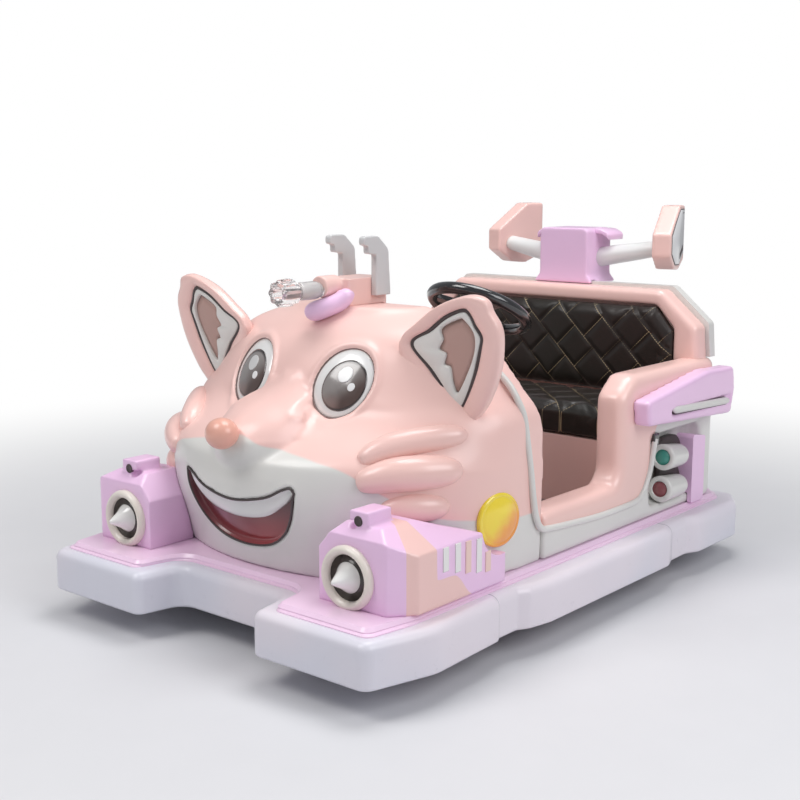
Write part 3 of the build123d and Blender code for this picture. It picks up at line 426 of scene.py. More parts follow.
# %% Finish of the face and body
def curve_of(work, value, pairs, origin=0.0, floor=0.0, ceiling=0.7):
    """A Float Curve through (place, height) pairs, both in millimetres from an origin and from the
    floor, read at a value in metres."""
    low, high = origin + pairs[0][0] / 1000, origin + pairs[-1][0] / 1000
    share = work.maths("DIVIDE", work.minus(value, low), high - low)
    node = work.add("FloatCurve", Value=share)
    line = node.mapping.curves[0]
    for index, (place, height) in enumerate(pairs):
        at = ((origin + place / 1000 - low) / (high - low), (height / 1000 - floor) / (ceiling - floor))
        if 0 < index < len(pairs) - 1:
            line.points.new(*at)
        else:
            line.points[-1 if index else 0].location = at
    for point in line.points:
        point.handle_type = "AUTO_CLAMPED"
    node.mapping.update()
    return work.fused(node.outputs[0], ceiling - floor, floor)


def two_colours(work, over, softness):
    """Pink above the line, white-grey below it, at a height over the line in metres."""
    paint = work.add("Group", node_tree=two_tone)
    paint.inputs["Above"].default_value = (*pink_colour, 1)
    paint.inputs["Below"].default_value = (*white_colour, 1)
    paint.inputs["Softness"].default_value = softness
    work.put(over, paint.inputs["Height over line"])
    return paint.outputs["Colour"]


def face_colour(work):
    """The line's height depends on the distance from the middle over the muzzle, and on the place
    along the car behind it."""
    part = work.place()[1]
    off_middle = work.size(part[0])
    muzzle = curve_of(work, off_middle, [(0, 500), (34, 497), (85, 474), (196, 452), (270, 432), (320, 400),
                                         (350, 380), (500, 372)])
    side = curve_of(work, part[1], [(200, 384), (262, 376), (300, 346), (345, 330), (420, 318),
                                    (550, 304), (600, 302), (618, 262), (660, 252)], front_end)
    behind = work.ramp(part[1], front_end + 0.252, front_end + 0.268)
    line = work.fused(behind, work.minus(side, muzzle), muzzle)
    return two_colours(work, work.minus(part[2], line), 0.003)


def body_colour(work):
    """The line follows the lower run of the white piping, and stays under the wings behind it."""
    part = work.place()[1]
    line = curve_of(work, part[1], [(640, 256), (760, 246), (887, 238), (1075, 240), (1112, 280), (1135, 330),
                                    (1150, 400), (1165, 425), (1530, 430)], front_end)
    return two_colours(work, work.minus(part[2], line), 0.003)


finish("face_gelcoat", face_colour, roughness=0.35, coat=0.22)
finish("body_gelcoat", body_colour)
print("two-colour shells")

# %% [markdown]
# Rubber is matte and dusty, so pale dust gathers on the tread by a noise. The floor mat has fine
# ribs. The badge is a plain disc of enamel that runs from yellow to orange.

# %% Rubber, enamel and clear plastic
def dusty_rubber(work):
    """Near-black rubber with pale dust gathered by a noise."""
    where = work.place()[0]
    dust = work.noise(where, 60.0, 5.0, 0.7)
    return work.mix(work.times(work.ramp(dust, 0.45, 0.8), 0.35), (0.018, 0.018, 0.018, 1),
                    (0.16, 0.15, 0.14, 1))


def ribbed_mat(work):
    """Brown-mauve mat whose fine ribs run across the car."""
    part = work.place()[1]
    ribs = work.maths("SINE", work.times(part[1], 2 * math.pi / 0.012))
    return work.mix(work.ramp(ribs, -0.2, 0.6), (0.10, 0.062, 0.058, 1), (0.20, 0.13, 0.12, 1))


def badge_colour(work):
    """Yellow at the upper front, running to orange low and behind."""
    where, part = work.place()
    slide = work.plus(work.minus(part[1], front_end + 0.478), work.minus(0.311, part[2]))
    cloud = work.noise(where, 26.0, 2.0)
    mixed = work.plus(slide, work.fused(cloud, 0.08, -0.04))
    return work.mix(work.ramp(mixed, -0.03, 0.07), (0.93, 0.72, 0.04, 1), (0.90, 0.33, 0.05, 1))


finish("badge_enamel", badge_colour, roughness=0.18, coat=1.0, drift=0.02)
finish("tyre_rubber", dusty_rubber, roughness=0.75, coat=0.0, bump=0.5, ripple=120.0)
finish("floor_rubber", ribbed_mat, roughness=0.6, coat=0.0, bump=0.3)
finish("clear_plastic", (0.93, 0.90, 0.90), drift=0.02, roughness=0.06, scuff=0.05, coat=0.0,
       Transmission_Weight=0.92, IOR=1.46)
finish("vinyl_black", (0.014, 0.011, 0.009), drift=0.4, roughness=0.36, scuff=0.1, ripple=260.0, bump=0.45,
       coat=0.15)
print("rubber, enamel, clear plastic and vinyl")

# %% [markdown]
# The solids keep their shape and take these finishes. One table says which solid wears which.

# %% Finishes on the solids
worn_by = {
    "bumper_skin": ["bumper_front", "bumper_side_left", "bumper_side_right", "bumper_rear"],
    "deck_gelcoat": ["deck"],
    "face_gelcoat": ["head"],
    "body_gelcoat": ["body"],
    "pink_gelcoat": ["ears", "cheek_tufts", "gun_base", "spoiler_plates", "backrest_frame", "seat_base"],
    "white_gelcoat": ["ear_insets", "back_panel", "wing_bars", "exhaust_tubes", "teeth", "eyes", "pod_vents"],
    "lilac_gelcoat": ["exhaust_housings", "headlight_housings", "side_wings", "curl", "spoiler_mount"],
    "salmon_nose": ["nose", "mouth"],
    "ivory_ring": ["headlight_rings"],
    "pearl_cone": ["headlight_cones"],
    "grip_plastic": ["gun_grips"],
    "bar_plastic": ["spoiler_bar"],
    "black_gloss": ["steering_wheel", "steering_binnacle"],
    "steel_paint": ["steering_column", "chassis_frame", "rear_axles", "drive_fork", "steering_bearing"],
    "battery_case": ["battery_box"],
    "tyre_rubber": ["tyre_rear_left", "tyre_rear_right", "drive_tyre"],
    "wheel_hub": ["hub_rear_left", "hub_rear_right", "drive_hub"],
    "floor_rubber": ["floor_mat"],
    "clear_plastic": ["gun_barrel"],
    "badge_enamel": ["badges"],
    "vinyl_black": ["seat_cushion", "backrest_pad"],
}
for label, wearers in worn_by.items():
    for wearer in wearers:
        mesh = nodes[wearer].data
        mesh.materials.clear()
        mesh.materials.append(finishes[label])
bare = sorted(set(nodes) - {n for names in worn_by.values() for n in names})
print("solids without a finish:", bare)

# %% [markdown]
# The real shells come out of one mould, so their corners are round and the cheek folds flow into
# the head. A solid modeller leaves crisp corners there. The shape is kept by copying the solids,
# covering them with even small squares, and letting every point relax towards its neighbours.

# %% Softened shells
def evaluated(made):
    """The object's mesh with its modifiers worked in."""
    bpy.context.view_layer.update()
    ready = made.evaluated_get(bpy.context.evaluated_depsgraph_get())
    return bpy.data.meshes.new_from_object(ready)


def solid_copy(name, *labels):
    """One welded mesh from copies of the named solids, as a new object."""
    work = bmesh.new()
    for label in labels:
        work.from_mesh(nodes[label].data)
    bmesh.ops.remove_doubles(work, verts=work.verts, dist=1e-5)
    mesh = bpy.data.meshes.new(name)
    work.to_mesh(mesh)
    work.free()
    return placed(name, mesh)


def even_squares(made, voxel, rounds=0):
    """Covers the object with voxel-sized squares, and then moves each point half way to the mean
    of its neighbours, once for each round."""
    squares = made.modifiers.new("even_squares", "REMESH")
    squares.mode, squares.voxel_size = "VOXEL", voxel
    if rounds:
        relax = made.modifiers.new("relax", "SMOOTH")
        relax.factor, relax.iterations = 0.5, rounds
    done = evaluated(made)
    made.modifiers.clear()
    made.data = done


def softened(name, node, voxel, rounds, material):
    """A soft skin that takes the place of one solid."""
    made = solid_copy(name, node)
    even_squares(made, voxel, rounds)
    made.data.shade_smooth()
    dressed(made, material)
    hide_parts(node)
    return made


def twinned(made):
    """Adds the mirror image across the middle of the car to the same piece."""
    work = bmesh.new()
    work.from_mesh(made.data)
    copy = bmesh.ops.duplicate(work, geom=work.verts[:] + work.edges[:] + work.faces[:])["geom"]
    bmesh.ops.scale(work, vec=(-1, 1, 1), verts=[v for v in copy if isinstance(v, bmesh.types.BMVert)])
    bmesh.ops.reverse_faces(work, faces=[f for f in copy if isinstance(f, bmesh.types.BMFace)])
    work.to_mesh(made.data)
    work.free()
    return made


def rounded_rod(name, line, radius, material, slot):
    """A rod with round ends: the radius is R * sqrt(1 - |2 t - 1| ^ 24), with t the share of the
    way along it, so it stays even and only closes at its ends."""
    steps = np.linalg.norm(np.diff(line, axis=0), axis=1)
    run = np.concatenate([[0], np.cumsum(steps)]) / steps.sum()
    fall = np.sqrt(np.clip(1 - np.abs(2 * run - 1) ** 24.0, 0.002, 1))
    return twinned(tube(name, line, radius * fall, material, sides=16, up=(1, 0, 0), slot=slot))


print("shell helpers ready")

# %% [markdown]
# The head is one shell with soft edges all over. Each cheek carries three fat folds, moulded on
# with a crease between them. A fold is a cord with a leaf's outline: its radius is
# R * sin(pi * t ^ 0.8) ^ 0.38, with t the share of the way along it, so it is pointed at the front,
# fattest behind the middle and sunk a little into the head.

# %% Head and cheek folds
head = softened("head_shell", "head", 0.006, 9, "face_gelcoat")
fold_lines = [
    ([(284, 236, 452), (309, 275, 472), (335, 310, 483), (378, 360, 494), (412, 398, 501),
      (434, 424, 504)], 33),
    ([(292, 216, 410), (347, 263, 427), (390, 308, 432), (426, 357, 433), (446, 390, 434)], 39),
    ([(332, 246, 352), (368, 278, 356), (395, 309, 357), (416, 338, 357), (432, 362, 358)], 33),
]
run = np.linspace(0, 1, 60)
fall = np.clip(np.sin(np.pi * run**0.8), 0.002, 1) ** 0.38
for number, (points, radius) in enumerate(fold_lines):
    line = through(spots(points), 60) + np.array([-0.8, 0.6, 0]) * 0.22 * radius / 1000
    fold = twinned(tube(f"cheek_fold_{number}", line, fall * radius / 1000, "pink_gelcoat", sides=36))
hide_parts("cheek_tufts")
print("head with six cheek folds")

# %% [markdown]
# The door frame, sill and armrests of the body are rounded by the same way, with larger squares
# because the piece is long. The pink stays inside the white piping, so its colour line is a curve.

# %% Body tub
softened("body_shell", "body", 0.009, 9, "body_gelcoat")
frame_shell = softened("backrest_surround", "backrest_frame", 0.006, 7, "pink_gelcoat").data
places = points_of(frame_shell)
# Its feet run down behind the armrests
places[:, 2] -= 0.028 * np.clip((0.590 - places[:, 2]) / 0.020, 0, 1)
move_points(frame_shell, places)
softened("spoiler_tower", "spoiler_mount", 0.004, 8, "lilac_gelcoat")
softened("side_wing_shells", "side_wings", 0.005, 4, "lilac_gelcoat")
softened("spoiler_end_plates", "spoiler_plates", 0.004, 5, "pink_gelcoat")

# %% [markdown]
# Eyes, mouth and lips have to sit on the softened face. A point cloud is dropped on the head from
# the front with a Shrinkwrap modifier, which gives the place of the skin behind any x and z.

# %% Places on the face
def on_face(x, z):
    """Frame points on the head's skin straight behind the given x and height z, in millimetres."""
    x, z = np.broadcast_arrays(np.asarray(x, float), np.asarray(z, float))
    cloud = spot(x.ravel(), -100, z.ravel())
    mesh = bpy.data.meshes.new("cloud")
    mesh.from_pydata(cloud.tolist(), [], [])
    made = placed("cloud", mesh)
    drop = made.modifiers.new("drop", "SHRINKWRAP")
    drop.target, drop.wrap_method = head, "PROJECT"
    drop.use_project_y, drop.use_positive_direction = True, True
    places = points_of(evaluated(made))
    bpy.data.objects.remove(made)
    return places.reshape(*x.shape, 3)


def outward(points):
    """The mean direction out of a patch of the face: square to the patch's best plane."""
    flat = points.reshape(-1, 3)
    normal = np.linalg.svd(flat - flat.mean(axis=0), full_matrices=False)[2][2]
    return normal if normal[1] < 0 else -normal


def distance_inside(x, z, outline):
    """Distance to a closed outline in the plane, in its own units, positive inside: the nearest of
    all its straight stretches, signed by how often a level ray crosses it."""
    a, b = outline, np.roll(outline, -1, axis=0)
    p = np.stack([x, z], axis=-1)[:, None]
    along = b - a
    share = np.clip(((p - a) * along).sum(-1) / (along**2).sum(-1), 0, 1)[..., None]
    near = np.linalg.norm(p - a - share * along, axis=-1).min(axis=1)
    high = (a[:, 1] > z[:, None]) != (b[:, 1] > z[:, None])
    cut = a[:, 0] + (z[:, None] - a[:, 1]) * along[:, 0] / np.where(along[:, 1] == 0, 1e-9, along[:, 1])
    odd = (high & (x[:, None] < cut)).sum(axis=1) % 2
    return np.where(odd == 1, near, -near)


eye_x, eye_z, eye_half_x, eye_half_z = 144, 600, 71, 75
upper_lip = [(-178, 392), (-146, 384), (-94, 363), (0, 349), (94, 364), (140, 386), (160, 393), (170, 384)]
lower_lip = [(-178, 392), (-168, 344), (-130, 284), (-76, 248), (0, 237), (76, 248), (128, 282), (158, 330),
             (170, 384)]
teeth_line = [(-177, 388), (-146, 350), (-84, 317), (0, 306), (84, 318), (138, 352), (160, 374), (169, 383)]
columns, lining_rows, teeth_rows = 81, 25, 13
upper, lower, bite = through(upper_lip, columns), through(lower_lip, columns), through(teeth_line, columns)
mouth_outline = np.concatenate([upper, lower[-2:0:-1]])
mouth_places = upper + np.linspace(0, 1, lining_rows)[:, None, None] * (lower - upper)
teeth_share = np.linspace(0, 1, teeth_rows)[:, None, None]
teeth_places = upper + teeth_share * (bite - upper)
mouth_base, teeth_base, lip_base = (on_face(line[..., 0], line[..., 1])
                                    for line in (mouth_places, teeth_places, mouth_outline))
eye_reach = np.linspace(0.02, 1, 22)[:, None]
eye_turn = np.linspace(0, 2 * np.pi, 72, endpoint=False)[None]


def eye_rings(side):
    """x and z, in millimetres, of rings round the middle of an eye, out to its ellipse."""
    return (side * eye_x + eye_half_x * eye_reach * np.cos(eye_turn),
            eye_z + eye_half_z * eye_reach * np.sin(eye_turn))


def bowl_terms(x, z):
    """1, x, z, x squared, xz and z squared, for a least-squares bowl."""
    return np.stack([x * 0 + 1, x, z, x * x, x * z, z * z], axis=-1)


def fitted_face(places):
    """The bowl y = a + bx + cz + dx^2 + exz + fz^2 nearest to a patch of the face, fitted again
    without what lies more than 4 mm off it, such as the foot of the snout."""
    x, y, z = places.reshape(-1, 3).T
    keep = np.ones(len(x), bool)
    for _ in range(3):
        weights = np.linalg.lstsq(bowl_terms(x, z)[keep], y[keep], rcond=None)[0]
        keep = np.abs(bowl_terms(x, z) @ weights - y) < 0.004
    return weights


eye_faces = {side: fitted_face(on_face(*eye_rings(side))) for side in (1, -1)}


def on_eye(x, z, side):
    """Frame points on the fitted face of one eye, for x and z in millimetres."""
    x, z = np.broadcast_arrays(np.asarray(x, float) / 1000, np.asarray(z, float) / 1000)
    return np.stack([x, bowl_terms(x, z) @ eye_faces[side], z], axis=-1)


eye_bases = {side: on_eye(*eye_rings(side), side) for side in (1, -1)}
print("face measured at", mouth_base.size // 3 + 2 * eye_bases[1].size // 3, "places")

# %% [markdown]
# The socket of each eye is a soft raised rim round a shallow bowl, and the mouth is a recess with
# a narrow wall. Both are pressed into the head's own skin: each point moves along its normal by
# an amount that depends only on its distance from the eye's ellipse or the mouth's outline.

# %% Sockets and mouth recess
socket_rise, socket_depth, mouth_depth, lip_rise = 4.5, 12.0, 21.0, 1.5  # millimetres
fit_limit = 0.003  # how far the skin may be drawn to the fitted eye face, in metres
even_rounds = 40
eye_foot = 500  # the skin round the eyes lies above this height, in millimetres


def smooth_step(value, low, high):
    """0 below low, 1 above high, and an even S between them."""
    t = np.clip((value - low) / (high - low), 0, 1)
    return t * t * (3 - 2 * t)


skin_points, skin_normals = points_of(head.data), points_of(head.data, "normal")
x, y, z = skin_points[:, 0] * 1000, (skin_points[:, 1] - front_end) * 1000, skin_points[:, 2] * 1000
ring = np.hypot((np.abs(x) - eye_x) / eye_half_x, (z - eye_z) / eye_half_z)
faces_front = (skin_normals[:, 1] < -0.1) & (y < 430)
near_eye = faces_front & (ring < 1.4) & (z > eye_foot)
for side in (1, -1):
    chosen = near_eye & (side * x > 0)
    level = bowl_terms(x[chosen] / 1000, z[chosen] / 1000) @ eye_faces[side]
    share = 1 - smooth_step(ring[chosen], 1.0, 1.35)
    skin_points[chosen, 1] += share * np.clip(level - skin_points[chosen, 1], -fit_limit, fit_limit)
socket = socket_rise * np.exp(-(((ring - 1.12) / 0.09) ** 2)) - socket_depth * smooth_step(-ring, -1.03, -0.93)
socket = np.where(z > eye_foot, socket, 0.0)
near_mouth = faces_front & (y < 330) & (z < 410)
depth = np.full(len(x), -99.0)
depth[near_mouth] = distance_inside(x[near_mouth], z[near_mouth], mouth_outline[::2])
recess = -mouth_depth * smooth_step(depth, -3.0, 4.0) + lip_rise * np.exp(-(((depth + 9) / 5) ** 2))
move = np.where(faces_front, socket + np.where(near_mouth, recess, 0.0), 0.0)
skin_points += skin_normals * move[:, None] / 1000
move_points(head.data, skin_points)
# The slopes between the snout and the eyes are evened out; their edges stay where they are
beside_eye = (ring > 1.17) & (ring < 2.2) & (np.abs(x) > 10) & (np.abs(x) < 150)
slopes = faces_front & beside_eye & (z > 485) & (z < 600)
work = bmesh.new()
work.from_mesh(head.data)
work.verts.ensure_lookup_table()
chosen = [work.verts[i] for i in np.flatnonzero(slopes)]
for _ in range(even_rounds):
    bmesh.ops.smooth_vert(work, verts=chosen, factor=0.5, use_axis_x=True, use_axis_y=True, use_axis_z=True)
work.to_mesh(head.data)
work.free()
print("sockets and mouth pressed in, deepest", round(float(move.min()), 1), "mm")

# %% [markdown]
# Eyes: a white dome sits low in each socket with a gap round it, darkened by a tube of painted shade,
# and a dark glossy iris lies on the dome with two painted glints. The domes follow the face, raised by a
# quarter circle.

# %% Eye finishes
def iris_colour(work):
    """Nearly black at the rim; inside, a painted soft reflection: grey at the upper outer side running to dark
    brown below, with a painted lighter glow low down.
    """
    where, part = work.place()
    side = work.maths("SIGN", part[0])
    across = work.minus(work.minus(part[0], 0.006), work.times(side, 0.146))
    up = work.minus(part[2], 0.594)
    squared = work.plus(work.times(across, across), work.times(up, up))
    radius = work.maths("SQRT", squared)
    cloud = work.noise(where, 30.0)
    # painted reflection of light: the grey side of the iris
    slide = work.plus(work.minus(up, across), work.fused(cloud, 0.03, -0.015))
    inner_with_painted_reflection = work.mix(work.ramp(slide, -0.05, 0.03), (0.075, 0.045, 0.038, 1), (0.25, 0.23, 0.22, 1))
    # painted reflected light: a lighter glow low down in the iris
    painted_low_glow = work.times(work.ramp(up, -0.012, -0.040), work.ramp(across, 0.012, -0.012))
    inner_with_painted_reflection = work.mix(work.times(painted_low_glow, 0.5), inner_with_painted_reflection, (0.30, 0.20, 0.18, 1))
    return work.mix(work.ramp(radius, 0.052, 0.046), (0.016, 0.010, 0.010, 1), inner_with_painted_reflection)


finish("iris_gloss", iris_colour, roughness=0.08, scuff=0.03, bump=0.03, coat=1.0)
finish("glint_white", (0.80, 0.80, 0.80), roughness=0.2, coat=0.5)
finish("groove_dark", (0.055, 0.04, 0.04), roughness=0.5, coat=0.1)
finish("glint_soft", (0.60, 0.60, 0.60), roughness=0.15, coat=0.8)
# painted shade for the gap round each eye
finish("gap_shade_soft", (0.20, 0.13, 0.12), roughness=0.5, coat=0.1)
finish("eye_white", (0.78, 0.78, 0.77), roughness=0.16, coat=1.0)
print("eye finishes")

# %% [markdown]
# The white, the iris and both glints are thin domes that share one height rule, so they nest
# without touching. The painted shade of the gap is a thin dark tube along the edge of the white.

# %% Eyes
iris_off, rim_sunk, dome_high, back_gap = 146, 8.0, 12.0, 0.014


def dome_height(x, z, side):
    """Height over the face in metres: low at the rim, higher inside by a quarter circle."""
    ring = np.hypot((x - side * eye_x) / eye_half_x, (z - eye_z) / eye_half_z)
    return (-rim_sunk + dome_high * np.sqrt(np.clip(1 - ring**2, 0, 1))) / 1000


def disc_on_eye(name, x, z, half_x, half_z, over, side, material, slot):
    """A thin dome on the eye: rings out to an ellipse, over metres above the white, closed by an
    edge that turns down into it."""
    reach = np.append(np.linspace(0.03, 1, 16), 1.0)[:, None]
    px, pz = x + half_x * reach * np.cos(eye_turn), z + half_z * reach * np.sin(eye_turn)
    lift = dome_height(px, pz, side) + over
    lift[-1] -= over + 0.002
    out = outward(eye_bases[side])
    return surface(name, on_eye(px, pz, side) + out * lift[..., None], material, slot=slot)


for side, label in ((1, "left"), (-1, "right")):
    base = eye_bases[side]
    out = outward(base)
    dome = base + out * dome_height(*eye_rings(side), side)[..., None]
    back = base[-1:] - out * back_gap
    white = surface(f"eye_white_{label}", np.concatenate([dome, back]), "eye_white", slot="white")
    # painted shade: a dark tube sunk in the gap round the white
    tube(f"eye_gap_shade_{label}", base[-1] - out * 0.0045, 0.0024, "gap_shade_soft", closed=True, sides=10,
         up=tuple(out), slot="black_trim")
    iris_x = side * iris_off
    disc_on_eye(f"iris_{label}", iris_x + 6, 594, 51, 54, 0.0012, side, "iris_gloss", "black_trim")
    disc_on_eye(f"glint_large_{label}", iris_x + 4, 616, 17, 17, 0.0026, side, "glint_soft", "white")
    disc_on_eye(f"glint_small_{label}", iris_x + 27, 591, 8, 8.5, 0.0026, side, "glint_white", "white")
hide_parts("eyes")

# %% [markdown]
# The mouth is a red lining at the bottom of the recess, with painted shade under the upper lip, a white band
# of teeth that follows the upper lip, and a thin dark line of painted shade in the corner where the recess
# meets the face.

# %% Mouth
def mouth_colour_with_shade(work):
    """Red with painted shade: nearly black red under the upper lip, brighter towards the bottom and towards
    the side of larger x.
    """
    part = work.place()[1]
    # painted shade: dark high up under the upper lip, and more so at smaller x
    low = work.ramp(part[2], 0.36, 0.25)
    side = work.ramp(part[0], -0.16, 0.12, 0.25, 1.0)
    return work.mix(work.times(low, side), (0.10, 0.018, 0.026, 1), (0.36, 0.035, 0.042, 1))


finish("mouth_lining", mouth_colour_with_shade, roughness=0.28, coat=0.7)
finish("tooth_white", (0.74, 0.73, 0.72), roughness=0.22, coat=0.8)
backward = np.array([0, 1.0, 0])


def edge_distance(places):
    """How far inside the mouth's outline each place of a table lies, in millimetres."""
    flat = places.reshape(-1, 2)
    return distance_inside(flat[:, 0], flat[:, 1], mouth_outline).reshape(places.shape[:2])


def slab_in_mouth(name, front, back, material, slot):
    """A table of points and a second one behind it, joined into a closed sheet."""
    table = np.concatenate([front, back[::-1]])
    return surface(name, np.concatenate([table, table[:1]]), material, closed=False, capped=False, slot=slot)


lining_depth = -0.0022 + 0.0172 * smooth_step(edge_distance(mouth_places), 0.5, 9.0)
lining = mouth_base + lining_depth[..., None] * backward
mouth = slab_in_mouth("mouth_lining", lining, lining + backward * 0.004, "mouth_lining", "nose")
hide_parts("mouth")
sunk = -0.0026 + 0.0076 * smooth_step(edge_distance(teeth_places), 0.0, 6.0)
sunk += 0.003 * smooth_step(teeth_share[..., 0], 0.8, 1.0)
teeth_front = teeth_base + sunk[..., None] * backward
teeth = slab_in_mouth("teeth_band", teeth_front, teeth_base + backward * 0.0165, "tooth_white", "white")
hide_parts("teeth")
# painted shade: a thin dark tube in the corner where the recess meets the face
tube("lip_shade_line", lip_base - backward * 0.0006, 0.0026, "groove_dark", closed=True, sides=10, up=(0, 1, 0),
     slot="black_trim")

# %% [markdown]
# The nose is a separate glossy ball on the tip of the snout. A plain sphere would look like a
# bought bead, so the radius swells a little towards one end and the ball is wider than it is high.

# %% Nose
turn = np.linspace(0, 2 * np.pi, 48, endpoint=False)[None]
tilt = np.linspace(0.04, np.pi - 0.04, 30)[:, None]
swell = 1 + 0.05 * np.cos(tilt)
nose_table = spot(3 + 38 * swell * np.sin(tilt) * np.cos(turn), 100 - 37 * np.cos(tilt),
                  502 + 35 * swell * np.sin(tilt) * np.sin(turn))
nose = surface("nose_ball", nose_table, "salmon_nose", slot="nose")
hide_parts("nose")

# %% [markdown]
# Each ear is a thick soft rim round a sunk plate, with a gap between them that a tube of painted shade
# darkens, and a brown hollow in the plate. All of its outlines lie on one leaning plane, so the ear is made
# from rings round
# one middle point: the ring's radius says how far out it is, and a depth says how far behind.

# %% Ears
ear_outline = [(255, 409, 705), (297, 406, 739), (355, 404, 779), (415, 404, 802), (454, 405, 808),
               (484, 408, 799), (494, 413, 775), (510, 417, 748), (515, 423, 717), (505, 432, 653),
               (481, 440, 595), (446, 446, 544), (390, 448, 507), (289, 432, 571), (245, 414, 660)]
gap_outline = [(275, 413, 691), (328, 410, 727), (374, 408, 760), (423, 408, 779), (442, 410, 770),
               (455, 414, 745), (469, 419, 722), (466, 423, 700), (446, 431, 638), (412, 439, 572),
               (391, 442, 547), (374, 439, 561), (320, 424, 633)]
hollow_outline = [(363, 412, 731), (409, 411, 754), (425, 412, 752), (447, 418, 720), (437, 426, 669),
                  (393, 435, 591), (380, 432, 608), (377, 426, 643), (361, 424, 651), (368, 421, 674),
                  (351, 418, 684), (363, 415, 706)]
ear_out = np.array([0.06, -1.0, -0.156])
ear_out /= np.linalg.norm(ear_out)
ear_across = np.array([1.0, 0.06, 0.0]) / np.hypot(1.0, 0.06)
ear_up = np.cross(ear_out, ear_across)
ear_up *= np.sign(ear_up[2])
ear_middle = spot(402, 422, 679)
ear_turn = np.linspace(-np.pi, np.pi, 160, endpoint=False)


def ear_radius(outline):
    """How far a closed outline lies from the ear's middle, at every turn round it: the outline is
    read closely, turned into angle and distance on the ear's plane, and read again at even angles."""
    line = through(spots(outline), 600, closed=True) - ear_middle
    u, v = line @ ear_across, line @ ear_up
    angle, far = np.arctan2(v, u), np.hypot(u, v)
    order = np.argsort(angle)
    return np.interp(ear_turn, angle[order], far[order], period=2 * np.pi)


def ear_rings(rings):
    """Rings from (radius, depth in millimetres behind the ear's front plane) pairs."""
    radii = np.array([np.broadcast_to(radius, ear_turn.shape) for radius, _ in rings])[..., None]
    depths = np.array([depth for _, depth in rings])[:, None, None] / 1000
    way = np.cos(ear_turn)[:, None] * ear_across + np.sin(ear_turn)[:, None] * ear_up
    return ear_middle + radii * way - depths * ear_out


rim, gap, hollow = ear_radius(ear_outline), ear_radius(gap_outline), ear_radius(hollow_outline)
ears = twinned(surface("ear_shells", ear_rings([
    (rim * 0.45, 40), (rim * 0.72, 38), (rim * 0.88, 33), (rim * 0.96, 26), (rim * 0.995, 18), (rim, 11),
    (rim * 0.99, 5), (rim * 0.97 + gap * 0.03, 1), (rim * 0.86 + gap * 0.14, -2), (rim * 0.6 + gap * 0.4, -3),
    (rim * 0.3 + gap * 0.7, -1), (rim * 0.1 + gap * 0.9, 1), (gap, 4), (gap - 0.0015, 8), (gap - 0.003, 13),
    (gap * 0.5, 13)]), "pink_gelcoat"))
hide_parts("ears")
plates = twinned(surface("ear_plates", ear_rings([
    (gap * 0.7, 13.5), (gap - 0.009, 13.5), (gap - 0.0085, 6), (gap - 0.010, 4), (gap - 0.013, 3),
    (hollow + 0.004, 3), (hollow + 0.001, 4.5), (hollow, 8), (hollow * 0.99, 12), (hollow * 0.5, 12)]),
    "white_gelcoat", slot="white"))
finish("ear_brown", (0.46, 0.29, 0.25), roughness=0.42, coat=0.2)
twinned(surface("ear_hollows", ear_rings([
    (hollow * 0.3, 13), (hollow * 0.97, 13), (hollow * 0.985, 9.5), (hollow * 0.7, 8.5), (hollow * 0.3, 8)]),
    "ear_brown", slot="nose"))
gap_line = ear_rings([(gap - 0.0045, 7.5)])[0]
# painted shade: a dark tube sunk in the gap between the rim and the plate
twinned(tube("ear_gap_shades", gap_line, 0.0048, "groove_dark", closed=True, sides=8, up=tuple(ear_out),
             slot="black_trim"))
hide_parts("ear_insets")

# %% [markdown]
# White piping covers the joint between the pink and the white shells. It starts behind the ear,
# runs down the head's side, along the sill and up to the wing, where a black clip ends it.

# %% Piping and its clips
piping_points = [(420, 548, 628), (449, 556, 596), (467, 563, 562), (477, 571, 528), (484, 576, 470),
                 (488, 586, 400), (490, 594, 340), (491, 606, 292), (491, 628, 262), (491, 664, 254),
                 (491, 760, 246), (491, 887, 238), (491, 1040, 238), (491, 1085, 250), (491, 1112, 282),
                 (491, 1130, 320), (491, 1149, 388)]
line = through(spots(piping_points), 200)
twinned(tube("piping", line, 0.0080, "white_gelcoat", up=(1, 0, 0), slot="white"))
profile = np.array([(-10, -2), (10, -2), (12, 12), (12, 30), (-12, 30), (-12, 12)], float)
clip_rows = [spot(x + 0 * profile[:, 0], 1151 + profile[:, 0] * grow, 372 + profile[:, 1] * grow)
             for x, grow in ((484, 1.0), (493, 1.0), (496, 0.85))]
clips = twinned(surface("piping_clips", np.array(clip_rows), "black_gloss", slot="black_trim"))
clips.data.shade_flat()

# %% [markdown]
# The curl in front of the toy gun is a soft comma: fat and round at its left end, thinner where it
# rises to the right. It is one line with a radius that changes along it.

# %% Curl
line = through(spots([(-20, 404, 738), (-6, 405, 744), (14, 420, 753), (34, 446, 766), (44, 460, 782),
                      (46, 466, 796)]), 60)
along = np.linspace(0, 1, 60)
fat = 0.027 * np.sqrt(np.clip(1 - np.abs(2 * along - 1) ** 5, 0.004, 1)) * (1 - 0.22 * along**2)
curl = tube("curl_comma", line, fat, "lilac_gelcoat", sides=28, slot="lilac", flat=0.9)
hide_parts("curl")

# %% [markdown]
# The head lamps sit in faceted lilac pods. A peach stripe is sprayed round each pod behind the
# lamp. It is an area of the pod's own material, found from the place of a point along the car and
# above the floor, because a sprayed stripe has no thickness and needs no piece of its own.

